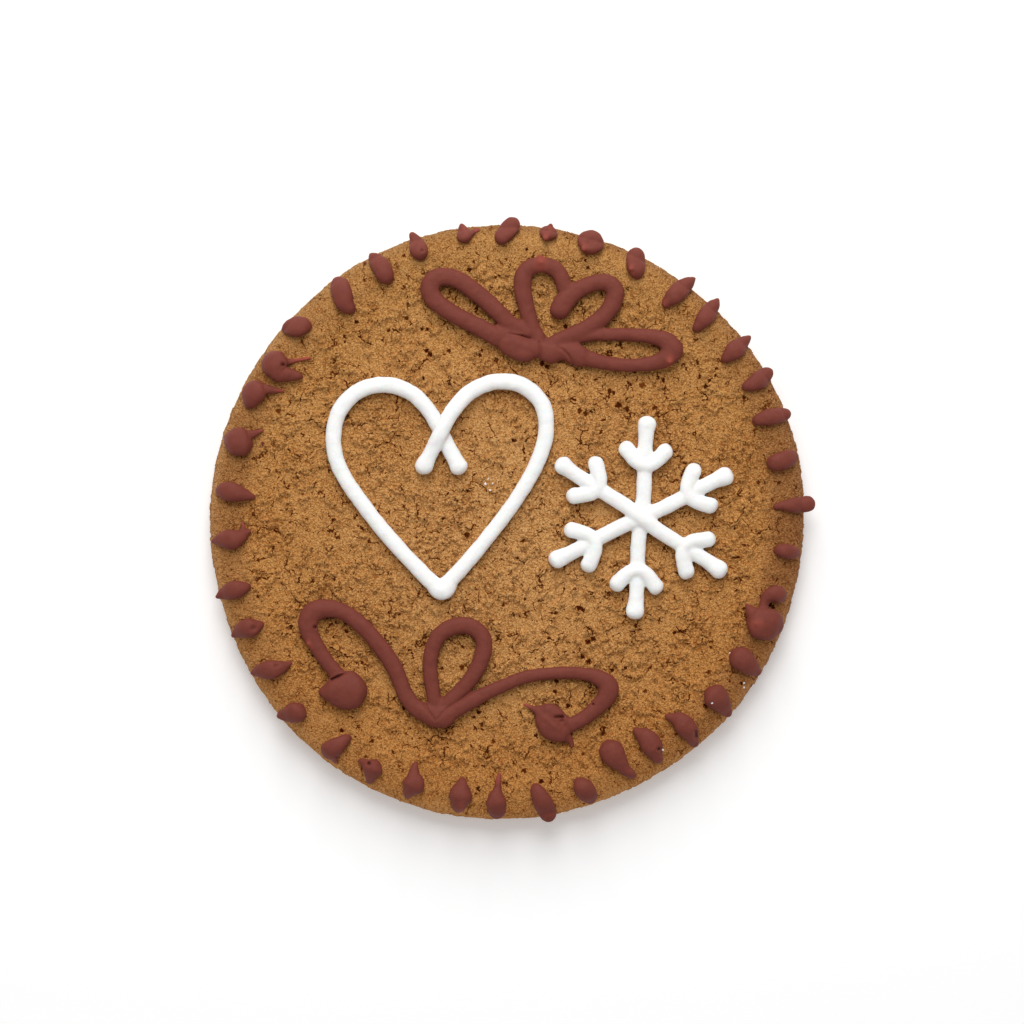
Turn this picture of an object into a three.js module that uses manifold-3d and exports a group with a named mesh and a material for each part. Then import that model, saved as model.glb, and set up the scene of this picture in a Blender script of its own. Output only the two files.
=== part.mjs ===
// A round gingerbread biscuit with piped icing. Millimetres, +Z up. The origin is the middle of the
// underside, which lies flat at z = 0, and +Y is the top of the design. The biscuit and the drops of red
// icing round its rim are one solid. Each piped ornament is a solid of its own that follows the crust
// with a small gap under it.
import * as THREE from 'three';
import { mergeVertices } from 'three/addons/utils/BufferGeometryUtils.js';
import Module from 'manifold-3d';

const wasm = await Module();
wasm.setup();

// Biscuit, driving dimensions
const RADIUS = 50;
const THICKNESS = 8;
const SHOULDER_RUN = 5; // how far in from the edge the top starts to fall
const SHOULDER_FALL = 4.8; // how far it has fallen at the widest point
const SHOULDER_POWER = 2.4; // 2 would be an ellipse, more is squarer
const FOOT_RUN = 1.6; // how far the underside is tucked in
const BODY_SIDES = 64;
const SHOULDER_STEPS = 5;
const FOOT_STEPS = 2;
const TOP_RINGS = [34, 18];

// Uneven baking: the edge as [waves round it, height, phase], the top as [height, length, heading, phase]
const EDGE_WAVES = [[1, 0.06, 92], [2, 0.23, -89], [3, 0.2, -24], [5, 0.1, -152], [7, 0.07, -111]];
const TOP_WAVES = [[0.12, 58, 20, 40], [0.1, 41, 75, 200], [0.06, 24, 140, 310]];

// Piped icing
const ICING_MAX_HEIGHT = 2.7; // above the crust, where a wide blob levels out
const ICING_STEEPNESS = 0.72; // height of a thin line for its width
const LEAST_TALL = 0.2; // solid height of a line for its width, where it is thinnest
const WIDTH_TENSION = 0.3; // how far the width swings between a line's points
const TIP_WIDTH = 0.3;
const RIM_CLEARANCE = 0.9; // a drop's middle line stays this far in from the edge

// The corners of a line's or a drop's section, as [half widths across, share of the height]
const SECTION = [[0.9, 0], [1, 0.43], [0.45, 0.97], [-0.45, 0.97], [-1, 0.43], [-0.9, 0]];
const LENGTH_PARTS = 12; // for measuring between a line's points
const END_CLEARANCE = 1.5; // no ring at a listed point this near an end, in end lengths

// Lines and drops: how far above the crust they start, the most between their rings, and where a round end
// has its rings, as shares of the end's length
const LINE = { base: 0.3, step: 2.8, caps: [0, 0.3] };
const DROP = { base: -0.5, step: 4, caps: [0.2] };

const COLOURS = { crust: 0xa4703c, red: 0x7a4038, white: 0xf7f6f3 };
const ROUGHNESS = { crust: 0.9, icing: 0.6 };
const SAME_POINT = 1e-5; // corners nearer than this are one

// Short cracks and pits of the crust: [x, y, length, width, heading in degrees]
const CRACK_DEPTH = 0.55;
const CRACKS = [
  [-29.9, 10, 3.6, 0.6, 92], [-6.6, -2.3, 1.5, 1.1, 5], [-17.6, 3.1, 3, 0.6, -38],
  [-1.8, 1.5, 1.5, 0.9, 60], [-37, 11.3, 1.8, 0.5, -50], [-41.2, -5.2, 2, 0.6, 85],
  [-28.4, -3.5, 2.2, 0.6, -55], [-15.8, -11.1, 2.4, 0.6, 30], [12.5, -14.7, 1.9, 0.8, 20],
  [14, -20.2, 2.2, 0.7, 35], [18, -24.8, 2.6, 0.7, 65], [-30.7, 5.7, 1.6, 0.5, 0],
  [15.7, -16, 1.8, 0.6, 88], [22, 22.4, 2, 0.6, -10], [-12, 19.4, 1.8, 0.5, 70],
  [-33.5, 19, 1.7, 0.5, 30], [36.5, 16, 2, 0.5, 110], [38, -9.5, 1.8, 0.5, 40],
  [2, -40.5, 2, 0.5, 15], [-22, -37, 2.2, 0.5, -30], [30, -30.5, 1.8, 0.5, 60],
];

// Widths of a rim drop from its inner to its outer end, as shares of its widest place
const DROP_SHAPES = {
  oval: [0.5, 0.98, 0.98, 0.5],
  capsule: [0.8, 1, 1, 0.8],
  lens: [0.2, 0.95, 0.95, 0.2],
  seed: [0.2, 0.82, 1, 0.6],
  bud: [0.6, 1, 0.82, 0.2],
  tear: [0.16, 0.42, 0.95, 0.8],
  comma: [0.8, 0.98, 0.5, 0.24],
};

// Red drops round the rim: [angle clockwise from the top, radius, length, width, lean, shape]. Rows that
// meet make one lumpy drop.
const RIM_DROPS = [
  [1, 47.8, 6.7, 3, 37, 'capsule'], [8, 48.3, 3.7, 3.2, 0, 'oval'], [17, 48.5, 5, 4.5, 0, 'capsule'],
  [27, 48, 6, 3.4, -30, 'capsule'], [37, 47.8, 7.6, 3.2, 6, 'bud'], [44, 48.2, 6.9, 3.2, -11, 'bud'],
  [53, 48.1, 6.4, 3.7, -4, 'lens'], [61, 48.2, 6.2, 3.9, -5, 'seed'], [69, 47.5, 7.1, 3.9, 9, 'capsule'],
  [78, 47.4, 6.4, 3.7, -1, 'oval'], [87, 48.4, 7.2, 3.9, -1, 'seed'], [96, 47.3, 4.9, 4, 4, 'oval'],
  [106, 46.6, 4.6, 4, 20, 'oval'], [112, 46.4, 6.2, 5.6, 78, 'capsule'], [109, 43.3, 3.8, 2, -42, 'tear'],
  [120, 45.6, 5.2, 4.4, 11, 'oval'], [122, 47.4, 3.6, 2.8, 2, 'bud'],
  [130, 46.4, 5.6, 4.4, 3, 'oval'], [131, 48.6, 2.8, 2.4, 3, 'bud'],
  [139, 45.9, 7.7, 3.7, -3, 'seed'], [147, 44, 8, 3.7, -4, 'seed'], [155, 43.6, 8.4, 3.7, -10, 'comma'],
  [164, 46.8, 5.4, 3.5, -15, 'oval'], [173, 47.4, 7.2, 3.4, -14, 'oval'], [182, 46.9, 7.6, 3.5, -2, 'tear'],
  [190, 46.3, 6.1, 3.7, 2, 'lens'], [200, 46.3, 6.1, 3.7, -1, 'seed'],
  [209, 47.2, 4.7, 4, -14, 'oval'], [211, 48.6, 2.6, 2, 0, 'bud'],
  [217, 47.6, 6.6, 3.7, 8, 'seed'], [228, 47.8, 5.6, 3.5, 36, 'oval'], [238, 46.4, 7.1, 3.2, 20, 'lens'],
  [247, 46.6, 6.2, 3.4, 13, 'lens'], [256, 46.9, 6.2, 3, 4, 'bud'],
  [267, 46, 6.2, 3.7, -11, 'oval'], [268.4, 43, 2.6, 1.4, 20, 'tear'],
  [276, 45.6, 7.1, 3.4, 7, 'lens'], [287, 46.2, 4.9, 4.6, 0, 'oval'], [289.2, 43.2, 4.2, 1.6, -25, 'tear'],
  [297, 46.8, 4.8, 4.4, -40, 'oval'], [298.8, 43.2, 5, 1.8, -28, 'tear'],
  [303.2, 46.6, 5, 4, 30, 'oval'], [305.5, 43.6, 6.4, 2.2, -30, 'tear'], [301.5, 43.4, 5, 2.6, -22, 'tear'],
  [313, 47, 4.7, 3.7, -48, 'lens'], [324, 46.5, 6.9, 3.4, 15, 'capsule'],
  [334, 46.8, 6.2, 3.2, -1, 'oval'], [342, 47.8, 5.5, 3, -3, 'bud'],
  [352, 48.2, 3.8, 3.4, 28, 'oval'], [350.5, 46.4, 2.8, 1.4, 10, 'tear'],
];

// Piped lines by hand: each is a run of [x, y, width] along its middle, with a fourth number where the
// line is lifted over another one. A line's ends are its tips.
const TOP_ORNAMENT = [
  // left petal
  [[3.7, 31.9, 2.5], [-0.1, 33.7, 2.7], [-3.3, 36.6, 2.7], [-6.5, 39.1, 2.7], [-9.8, 40.7, 2.7],
    [-11.7, 40.5, 2.9], [-12.9, 39.1, 2.9], [-12.6, 37.4, 2.9], [-11.4, 36, 2.7], [-8.9, 34.2, 2.7],
    [-6.5, 33.1, 2.7], [-4.1, 32, 2.9], [-2.1, 30.8, 3], [-0.4, 30, 3]],
  // loop up from the knot, with the bead on its top and the blob where it ends
  [[5.2, 29.9, 2.6], [4.1, 33.3, 2.6], [3.4, 36, 2.6], [2.8, 37.7, 2.8], [2.6, 39.9, 2.9], [3, 41.5, 2.9],
    [4.1, 42.3, 2.8], [5.6, 42.4, 2.7], [7.2, 42.3, 2.7], [8.7, 41.7, 2.7], [9.6, 40.5, 2.7],
    [9.8, 38.9, 2.9]],
  [[5.9, 42.3, 1.2, 0.6], [5.8, 43.3, 1.8, 0.3], [5.6, 44.5, 0.8]],
  [[10.8, 39.2, 2.4], [10.2, 37.4, 3.4], [9, 35.2, 4.4], [8.3, 32.8, 3.6]],
  // loop back down to the knot
  [[10.7, 37.4, 2.7], [12.4, 38.7, 2.9], [14.3, 39.4, 2.9], [16, 39.7, 2.9], [17.4, 39.1, 3],
    [18.1, 37.7, 3.1], [17.5, 36.1, 3], [16.2, 34.3, 2.9], [14, 32.7, 2.9], [11.7, 31.4, 2.9],
    [9.1, 30.4, 2.8], [6.8, 29.6, 2.7]],
  // right petal
  [[11, 29.9, 2.5], [13.4, 30.6, 2.5], [16, 31, 2.4], [19.4, 31.2, 2.3], [22.9, 31.1, 2.4], [25.5, 30.6, 2.7],
    [27.2, 29.7, 3.4], [27.8, 28.5, 3.5], [26.9, 27.1, 3], [25, 26.3, 2.6], [22.9, 26, 2.4], [19.4, 26, 2.4],
    [16, 26.2, 2.5], [13.5, 27, 2.9]],
  // lumps of the knot
  [[-2.9, 31, 2.4], [-0.1, 29.8, 3.7], [2.6, 29, 4.4], [5.5, 28.7, 3.2]],
  [[4.5, 28.8, 2.7], [7.5, 28, 3.5], [10.2, 28.5, 2.9]],
  [[9.3, 28.9, 2.8], [11.5, 28, 3.6], [14.3, 26.9, 2.9]],
];
const BOTTOM_ORNAMENT = [
  // left line down to the knot
  [[-28.2, -25.2, 2.5], [-29.5, -23.6, 2.6], [-30.9, -21.9, 2.6], [-31.9, -20.2, 2.7], [-32.8, -18.5, 3.1],
    [-33.1, -16.8, 3.4], [-32.6, -15.3, 3.4], [-31.2, -14.7, 3.4], [-29.5, -14.6, 3.1], [-27.8, -15, 2.9],
    [-26.1, -15.9, 2.8], [-24.3, -17.3, 2.9], [-22.6, -19.1, 2.9], [-20.9, -21.2, 2.9], [-19.4, -23.3, 2.9],
    [-18.3, -25.4, 2.9], [-17.6, -27.1, 2.8], [-17, -28.8, 2.7], [-16.1, -30.4, 2.9], [-14.4, -31.5, 3.2],
    [-12.4, -32.1, 3.4]],
  // blob at its upper end, with a drawn-out point
  [[-30.4, -29.1, 3.2], [-28.5, -28.4, 6.2], [-26.5, -27.6, 7.1], [-23.6, -26.4, 5]],
  [[-27.2, -27.4, 3.4], [-29.2, -28, 2.4], [-31.6, -28.3, 0.8]],
  // loop up from the knot
  [[-12.1, -30.4, 2.7], [-12.5, -28, 2.8], [-12.7, -25.7, 2.7], [-12.7, -23.5, 2.6], [-12.4, -21.2, 2.7],
    [-11.5, -19.4, 2.8], [-9.9, -18, 2.9], [-7.5, -17.4, 2.9], [-5.5, -17.8, 2.9], [-4.1, -19.1, 2.9],
    [-3.8, -20.9, 2.9], [-4.2, -23.2, 2.9], [-5.1, -25.2, 2.9], [-6.5, -27, 2.9], [-8.3, -29.1, 2.9]],
  // right line, round and back
  [[-9.2, -31.2, 2.9], [-6.3, -30.2, 2.9], [-3.8, -28.9, 2.6], [-1.3, -27.7, 2.4], [1.1, -26.7, 2.4],
    [3.6, -25.9, 2.2], [7.3, -25.3, 2.1], [11, -25.2, 2.2], [13.5, -25.5, 2.5], [15.6, -26.3, 3.2],
    [16.9, -27.5, 3.4], [17.1, -28.6, 3.4], [16.2, -30, 3.2], [15, -31.1, 2.9], [13.5, -32.1, 2.9],
    [11.9, -33.4, 2.9], [10.2, -34.6, 3]],
  // the knot
  [[-14.4, -31.2, 2.7], [-11.9, -32, 4], [-9.7, -31.9, 4.4], [-6.8, -30.4, 2.7]],
  // folds and tails where the right line ends
  [[6.3, -32.9, 2.4], [7.5, -34.6, 3.7], [9.2, -35.1, 3.5], [10.8, -34.1, 2.4]],
  [[6.3, -30.7, 2, 0.2], [7.8, -31.3, 2.9, 0.3], [9, -32.6, 2.5, 0.4], [10.5, -33.9, 2, 0.3]],
  [[7.8, -32.1, 2.5], [6, -31.6, 1.5], [4.3, -30.8, 1], [2.6, -30.1, 0.7]],
  [[9.8, -35.4, 2.4], [10.7, -36.6, 1.3], [11.1, -38, 0.8]],
];
const HEART = [
  [[-7.3, 7.9, 3.7], [-8.7, 10.5, 2.7], [-10.5, 14, 2.6], [-12.9, 18.4, 2.6], [-16.1, 21.5, 2.7],
    [-20.3, 22.7, 2.7], [-24.5, 21.7, 2.7], [-27.7, 18.5, 2.7], [-28.8, 13.7, 2.7], [-27.7, 8.8, 2.6],
    [-21.1, -0.8, 2.6], [-13.2, -9.4, 2.7], [-10.7, -11.6, 2.9]],
  [[-11.5, -11.7, 2.9], [-9.2, -9.7, 2.7], [-1.8, -1, 2.5], [1.9, 4.1, 2.5], [5, 9.5, 2.6],
    [6.6, 14.8, 2.7], [5.8, 19.7, 2.8], [2.4, 22.7, 2.8], [-1.9, 23.2, 2.7], [-6.1, 21.4, 2.7, 0.3],
    [-9, 18.2, 2.7, 1], [-11, 14.5, 2.6, 1.2], [-12.7, 11.1, 2.6, 0.4], [-14.4, 7.9, 3.4]],
  [[-12.9, -9.9, 2.4], [-10.7, -11.4, 3.5], [-8.7, -9.4, 2.4]],
];

// Snowflake: three lines through its middle, and a chevron on each of the six arms
const SNOW = { x: 22.4, y: 0.6, turn: 4, reach: 17, width: 2.6, tip: 3.8, tipLength: 3.5, bend: 0.15 };
const SNOW_CROSSING = { run: 4, lift: 0.9 };
const CHEVRON = { at: 8.9, long: 3.4, wide: 4.1, nose: 0.9, width: 2.4, tip: 2.9, lift: 0.5 };

const degrees = THREE.MathUtils.degToRad;

// Radius of the biscuit's outline at an angle
function edgeRadius(angle) {
  return EDGE_WAVES.reduce((radius, [waves, height, phase]) => (
    radius + height * Math.cos(waves * angle + degrees(phase))), RADIUS);
}

// How far the shoulder has fallen at a radius of the round biscuit
function shoulderFall(radius) {
  const part = THREE.MathUtils.clamp((radius - RADIUS + SHOULDER_RUN) / SHOULDER_RUN, 0, 1);
  return SHOULDER_FALL * (1 - (1 - part ** SHOULDER_POWER) ** (1 / SHOULDER_POWER));
}

// Gentle rise and fall of the top
function unevenness(x, y) {
  return TOP_WAVES.reduce((rise, [height, length, heading, phase]) => {
    const along = x * Math.cos(degrees(heading)) + y * Math.sin(degrees(heading));
    return rise + height * Math.cos(2 * Math.PI * along / length + degrees(phase));
  }, 0);
}

// Height of the crust under a point
function crustHeight(x, y) {
  const edge = edgeRadius(Math.atan2(y, x));
  return THICKNESS + unevenness(x, y) - shoulderFall(Math.hypot(x, y) * RADIUS / edge);
}

// Height of a line or drop of icing for its width, levelling out on wide blobs
function icingHeight(width) {
  return ICING_MAX_HEIGHT * Math.tanh(ICING_STEEPNESS * width / ICING_MAX_HEIGHT);
}

// Closed solid from a geometry
function solidOf(geometry) {
  const bare = geometry.clone();
  bare.deleteAttribute('uv');
  bare.deleteAttribute('normal');
  const merged = mergeVertices(bare, SAME_POINT);
  const corners = Array.from(merged.index.array);
  const kept = [];
  for (let i = 0; i < corners.length; i += 3) {
    const [a, b, c] = corners.slice(i, i + 3);
    if (a !== b && b !== c && c !== a) kept.push(a, b, c);
  }
  return new wasm.Manifold(new wasm.Mesh({
    numProp: 3,
    vertProperties: new Float32Array(merged.attributes.position.array),
    triVerts: new Uint32Array(kept),
  }));
}

// Named mesh from a closed solid
function meshOf(name, solid, colour, roughness) {
  const result = solid.getMesh();
  const geometry = new THREE.BufferGeometry();
  geometry.setAttribute('position', new THREE.BufferAttribute(result.vertProperties, 3));
  geometry.setIndex(new THREE.BufferAttribute(result.triVerts, 1));
  geometry.computeVertexNormals();
  const material = new THREE.MeshStandardMaterial({ color: colour, roughness, metalness: 0 });
  const mesh = new THREE.Mesh(geometry, material);
  mesh.name = name;
  return mesh;
}

// The biscuit: a turned disc whose outline and top are then made uneven
function bodyGeometry() {
  const waist = THICKNESS - SHOULDER_FALL;
  const profile = [new THREE.Vector2(0, 0)];
  for (let i = 0; i <= FOOT_STEPS; i += 1) {
    const turn = (Math.PI / 2) * (i / FOOT_STEPS);
    profile.push(new THREE.Vector2(RADIUS - FOOT_RUN * (1 - Math.sin(turn)), waist * (1 - Math.cos(turn))));
  }
  for (let i = 1; i <= SHOULDER_STEPS; i += 1) {
    const part = Math.cos((Math.PI / 2) * (i / SHOULDER_STEPS)) ** (2 / SHOULDER_POWER);
    const radius = RADIUS - SHOULDER_RUN * (1 - part);
    profile.push(new THREE.Vector2(radius, THICKNESS - shoulderFall(radius)));
  }
  TOP_RINGS.forEach((radius) => profile.push(new THREE.Vector2(radius, THICKNESS)));
  profile.push(new THREE.Vector2(0, THICKNESS));

  const geometry = new THREE.LatheGeometry(profile, BODY_SIDES);
  geometry.rotateX(Math.PI / 2);
  const position = geometry.attributes.position;
  for (let i = 0; i < position.count; i += 1) {
    const angle = Math.atan2(position.getY(i), position.getX(i));
    const grow = edgeRadius(angle) / RADIUS;
    const x = position.getX(i) * grow;
    const y = position.getY(i) * grow;
    const height = position.getZ(i);
    const share = THREE.MathUtils.clamp((height - waist) / SHOULDER_FALL, 0, 1);
    position.setXYZ(i, x, y, height + share * unevenness(x, y));
  }
  return geometry;
}

// Closed loft of rings of one section along a middle line. Each station is { at, side, width }.
function loft(stations, base) {
  const sides = SECTION.length;
  const corners = [];
  const faces = [];
  stations.forEach(({ at, side, width }) => {
    const tall = Math.max(icingHeight(width) - base, LEAST_TALL * width);
    SECTION.forEach(([across, up]) => {
      const out = 0.5 * width * across;
      corners.push(at.x + out * side.x, at.y + out * side.y, at.z + base + tall * up);
    });
  });
  for (let i = 0; i + 1 < stations.length; i += 1) {
    for (let j = 0; j < sides; j += 1) {
      const a = i * sides + j;
      const b = i * sides + (j + 1) % sides;
      faces.push(a, a + sides, b, b, a + sides, b + sides);
    }
  }
  const last = (stations.length - 1) * sides;
  for (let j = 1; j + 1 < sides; j += 1) {
    faces.push(0, j, j + 1);
    faces.push(last, last + j + 1, last + j);
  }
  const geometry = new THREE.BufferGeometry();
  geometry.setAttribute('position', new THREE.Float32BufferAttribute(corners, 3));
  geometry.setIndex(faces);
  return geometry;
}

// A line of icing through [x, y, width, lift] points, with rounded ends, laid on the crust
function pipedLine(points, kind) {
  const path = new THREE.CatmullRomCurve3(points.map(([x, y]) => new THREE.Vector3(x, y, 0)));
  const size = new THREE.CatmullRomCurve3(points.map(([, , width, lift = 0]) => (
    new THREE.Vector3(width, lift, 0))), false, 'catmullrom', WIDTH_TENSION);
  const lengths = path.getLengths(LENGTH_PARTS * (points.length - 1));
  const length = lengths[lengths.length - 1];
  const first = 0.5 * points[0][2];
  const last = 0.5 * points[points.length - 1][2];
  const isInside = (place) => (
    place > END_CLEARANCE * first && place < length - END_CLEARANCE * last);
  const marks = points.map((point, i) => lengths[LENGTH_PARTS * i]).filter(isInside);
  const places = kind.caps.map((part) => part * first);
  [first, ...marks, length - last].forEach((mark, i, all) => {
    const before = i ? all[i - 1] : mark;
    const steps = Math.ceil((mark - before) / kind.step) || 1;
    for (let j = 1; j <= steps; j += 1) places.push(before + (mark - before) * (j / steps));
  });
  [...kind.caps].reverse().forEach((part) => places.push(length - part * last));

  const stations = places.map((place) => {
    const t = path.getUtoTmapping(place / length);
    const at = path.getPoint(t);
    const heading = path.getTangent(t);
    const { x: fullWidth, y: lift } = size.getPoint(t);
    const fromEnd = Math.min(place / first, (length - place) / last, 1);
    const width = Math.max(fullWidth * Math.sqrt(1 - (1 - fromEnd) ** 2), TIP_WIDTH);
    at.z = crustOrRim(at) + lift;
    return { at, side: new THREE.Vector3(heading.y, -heading.x, 0).normalize(), width };
  });
  return loft(stations, kind.base);
}

// Height of the crust, held to the rim's for points past it
function crustOrRim(at) {
  const radius = Math.hypot(at.x, at.y);
  const limit = edgeRadius(Math.atan2(at.y, at.x)) - RIM_CLEARANCE;
  const keep = Math.min(1, limit / radius);
  return crustHeight(at.x * keep, at.y * keep);
}

// A drop of icing at the rim
function rimDrop([clock, radius, length, width, lean, shape]) {
  const bearing = degrees(clock);
  const heading = degrees(clock + lean);
  const shares = DROP_SHAPES[shape];
  const points = shares.map((share, i) => {
    const along = length * (i / (shares.length - 1) - 0.5);
    return [
      radius * Math.sin(bearing) + along * Math.sin(heading),
      radius * Math.cos(bearing) + along * Math.cos(heading),
      width * share,
    ];
  });
  return pipedLine(points, DROP);
}

// A crack: a thin wedge with pointed ends that is cut out of the crust
function crackGeometry([x, y, length, width, heading]) {
  const geometry = new THREE.OctahedronGeometry(1);
  geometry.scale(length / 2, width / 2, CRACK_DEPTH);
  geometry.rotateZ(degrees(heading));
  geometry.translate(x, y, crustHeight(x, y));
  return geometry;
}

// Snowflake lines, worked out from its sizes
function snowflakeLines() {
  const onArm = (bearing, along, aside) => [
    SNOW.x + along * Math.sin(bearing) + aside * Math.cos(bearing),
    SNOW.y + along * Math.cos(bearing) - aside * Math.sin(bearing),
  ];
  const { reach, width, tip, bend } = SNOW;
  const neck = reach - SNOW.tipLength;
  const { run } = SNOW_CROSSING;
  const lines = [];
  for (let i = 0; i < 3; i += 1) {
    const bearing = degrees(SNOW.turn + 60 * i);
    const lift = SNOW_CROSSING.lift * i / 2;
    lines.push([
      [...onArm(bearing, -reach, 0), tip], [...onArm(bearing, -neck, bend), width],
      [...onArm(bearing, -run, -bend), width, lift / 2], [...onArm(bearing, 0, 0), width, lift],
      [...onArm(bearing, run, bend), width, lift / 2], [...onArm(bearing, neck, -bend), width],
      [...onArm(bearing, reach, 0), tip],
    ]);
  }
  for (let i = 0; i < 6; i += 1) {
    const bearing = degrees(SNOW.turn + 60 * i);
    const { at, long, wide, nose, lift } = CHEVRON;
    lines.push([
      [...onArm(bearing, at + long, -wide), CHEVRON.tip], [...onArm(bearing, at, -nose), CHEVRON.width, lift],
      [...onArm(bearing, at, nose), CHEVRON.width, lift], [...onArm(bearing, at + long, wide), CHEVRON.tip],
    ]);
  }
  return lines;
}

// An ornament: its lines joined
function ornament(name, lines, colour) {
  const joined = lines
    .map((points) => solidOf(pipedLine(points, LINE)))
    .reduce((whole, line) => whole.add(line));
  return meshOf(name, joined, colour, ROUGHNESS.icing);
}

// The biscuit with its rim drops fused on and its cracks cut in
function biscuit() {
  const iced = RIM_DROPS
    .map((row) => solidOf(rimDrop(row)))
    .reduce((whole, drop) => whole.add(drop), solidOf(bodyGeometry()));
  const cracked = CRACKS
    .map((row) => solidOf(crackGeometry(row)))
    .reduce((whole, crack) => whole.subtract(crack), iced);
  return meshOf('biscuit', cracked, COLOURS.crust, ROUGHNESS.crust);
}

const group = new THREE.Group();
group.add(
  biscuit(),
  ornament('red_ornament_top', TOP_ORNAMENT, COLOURS.red),
  ornament('red_ornament_bottom', BOTTOM_ORNAMENT, COLOURS.red),
  ornament('white_heart', HEART, COLOURS.white),
  ornament('white_snowflake', snowflakeLines(), COLOURS.white),
);

export default group;
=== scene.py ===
"""Looks of a round gingerbread biscuit with piped icing, laid out as a Blender add-on.

Tables and names that end in _mm are in millimetres; Blender's own lengths are metres. The origin is the
middle of the flat underside, +Z is up out of the iced face and +Y is the top of the design.
"""
import math

import bpy
import numpy as np
from bpy.props import FloatProperty, FloatVectorProperty, IntProperty, PointerProperty
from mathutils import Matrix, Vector, kdtree


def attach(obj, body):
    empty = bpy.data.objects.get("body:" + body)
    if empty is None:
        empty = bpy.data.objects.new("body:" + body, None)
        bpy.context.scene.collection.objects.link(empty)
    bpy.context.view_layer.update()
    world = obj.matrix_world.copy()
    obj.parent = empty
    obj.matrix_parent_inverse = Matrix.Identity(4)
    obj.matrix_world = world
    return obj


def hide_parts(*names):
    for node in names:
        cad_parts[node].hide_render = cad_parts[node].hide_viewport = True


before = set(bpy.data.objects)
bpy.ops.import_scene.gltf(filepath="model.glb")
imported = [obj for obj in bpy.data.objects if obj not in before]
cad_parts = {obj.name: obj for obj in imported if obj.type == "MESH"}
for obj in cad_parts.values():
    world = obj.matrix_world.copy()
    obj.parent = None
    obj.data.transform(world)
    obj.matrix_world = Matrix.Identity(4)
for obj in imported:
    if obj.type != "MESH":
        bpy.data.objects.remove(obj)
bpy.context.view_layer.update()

bl_info = {
    "name": "Iced gingerbread biscuit",
    "version": (1, 0, 0),
    "blender": (4, 5, 0),
    "location": "View3D > Sidebar > Biscuit",
    "description": "Makes a baked gingerbread biscuit with piped icing, and the floor and light round it",
    "category": "Object",
}

MM = 0.001
MATH = "ShaderNodeMath"
VECTOR_MATH = "ShaderNodeVectorMath"
NOISE = "ShaderNodeTexNoise"
VORONOI = "ShaderNodeTexVoronoi"
RANGE = "ShaderNodeMapRange"
MIX = "ShaderNodeMix"
NAMED = "GeometryNodeInputNamedAttribute"

# The biscuit's outline and top, as in the CAD: the edge's waves as (waves round it, height mm, phase), and
# the top's as (height mm, length mm, heading, phase)
EDGE_WAVES = ((1, 0.06, 92), (2, 0.23, -89), (3, 0.2, -24), (5, 0.1, -152), (7, 0.07, -111))
TOP_WAVES = ((0.12, 58, 20, 40), (0.1, 41, 75, 200), (0.06, 24, 140, 310))
SHOULDER_POWER = 2.4
RIM_CLEARANCE_MM = 0.9

# Above the first height the crumb's pattern is one flat slice; the placed pits grow in between the next two
TOP_SLICE_MM = 6.0
PITS_FROM_MM, PITS_FULL_MM = 3.6, 4.8
PIT_RAGGEDNESS_MM = 0.9

# Piped lines that are narrower than this are paler
FULL_COLOUR_WIDTH_MM = 1.5

# The point of the floor that the camera looks at, and the window light's size and place in metres
PHOTO_MIDDLE_MM = (0.925, 1.547, 0)
WINDOW_SIZE = (0.34, 0.6)
WINDOW_PLACE = (-0.02, 0.46, 0.5)

# Icing height over the crust for its width, levelling out on wide blobs
ICING_MAX_HEIGHT_MM = 2.7
ICING_STEEPNESS = 0.72
WIDTH_TENSION = 0.3

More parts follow.
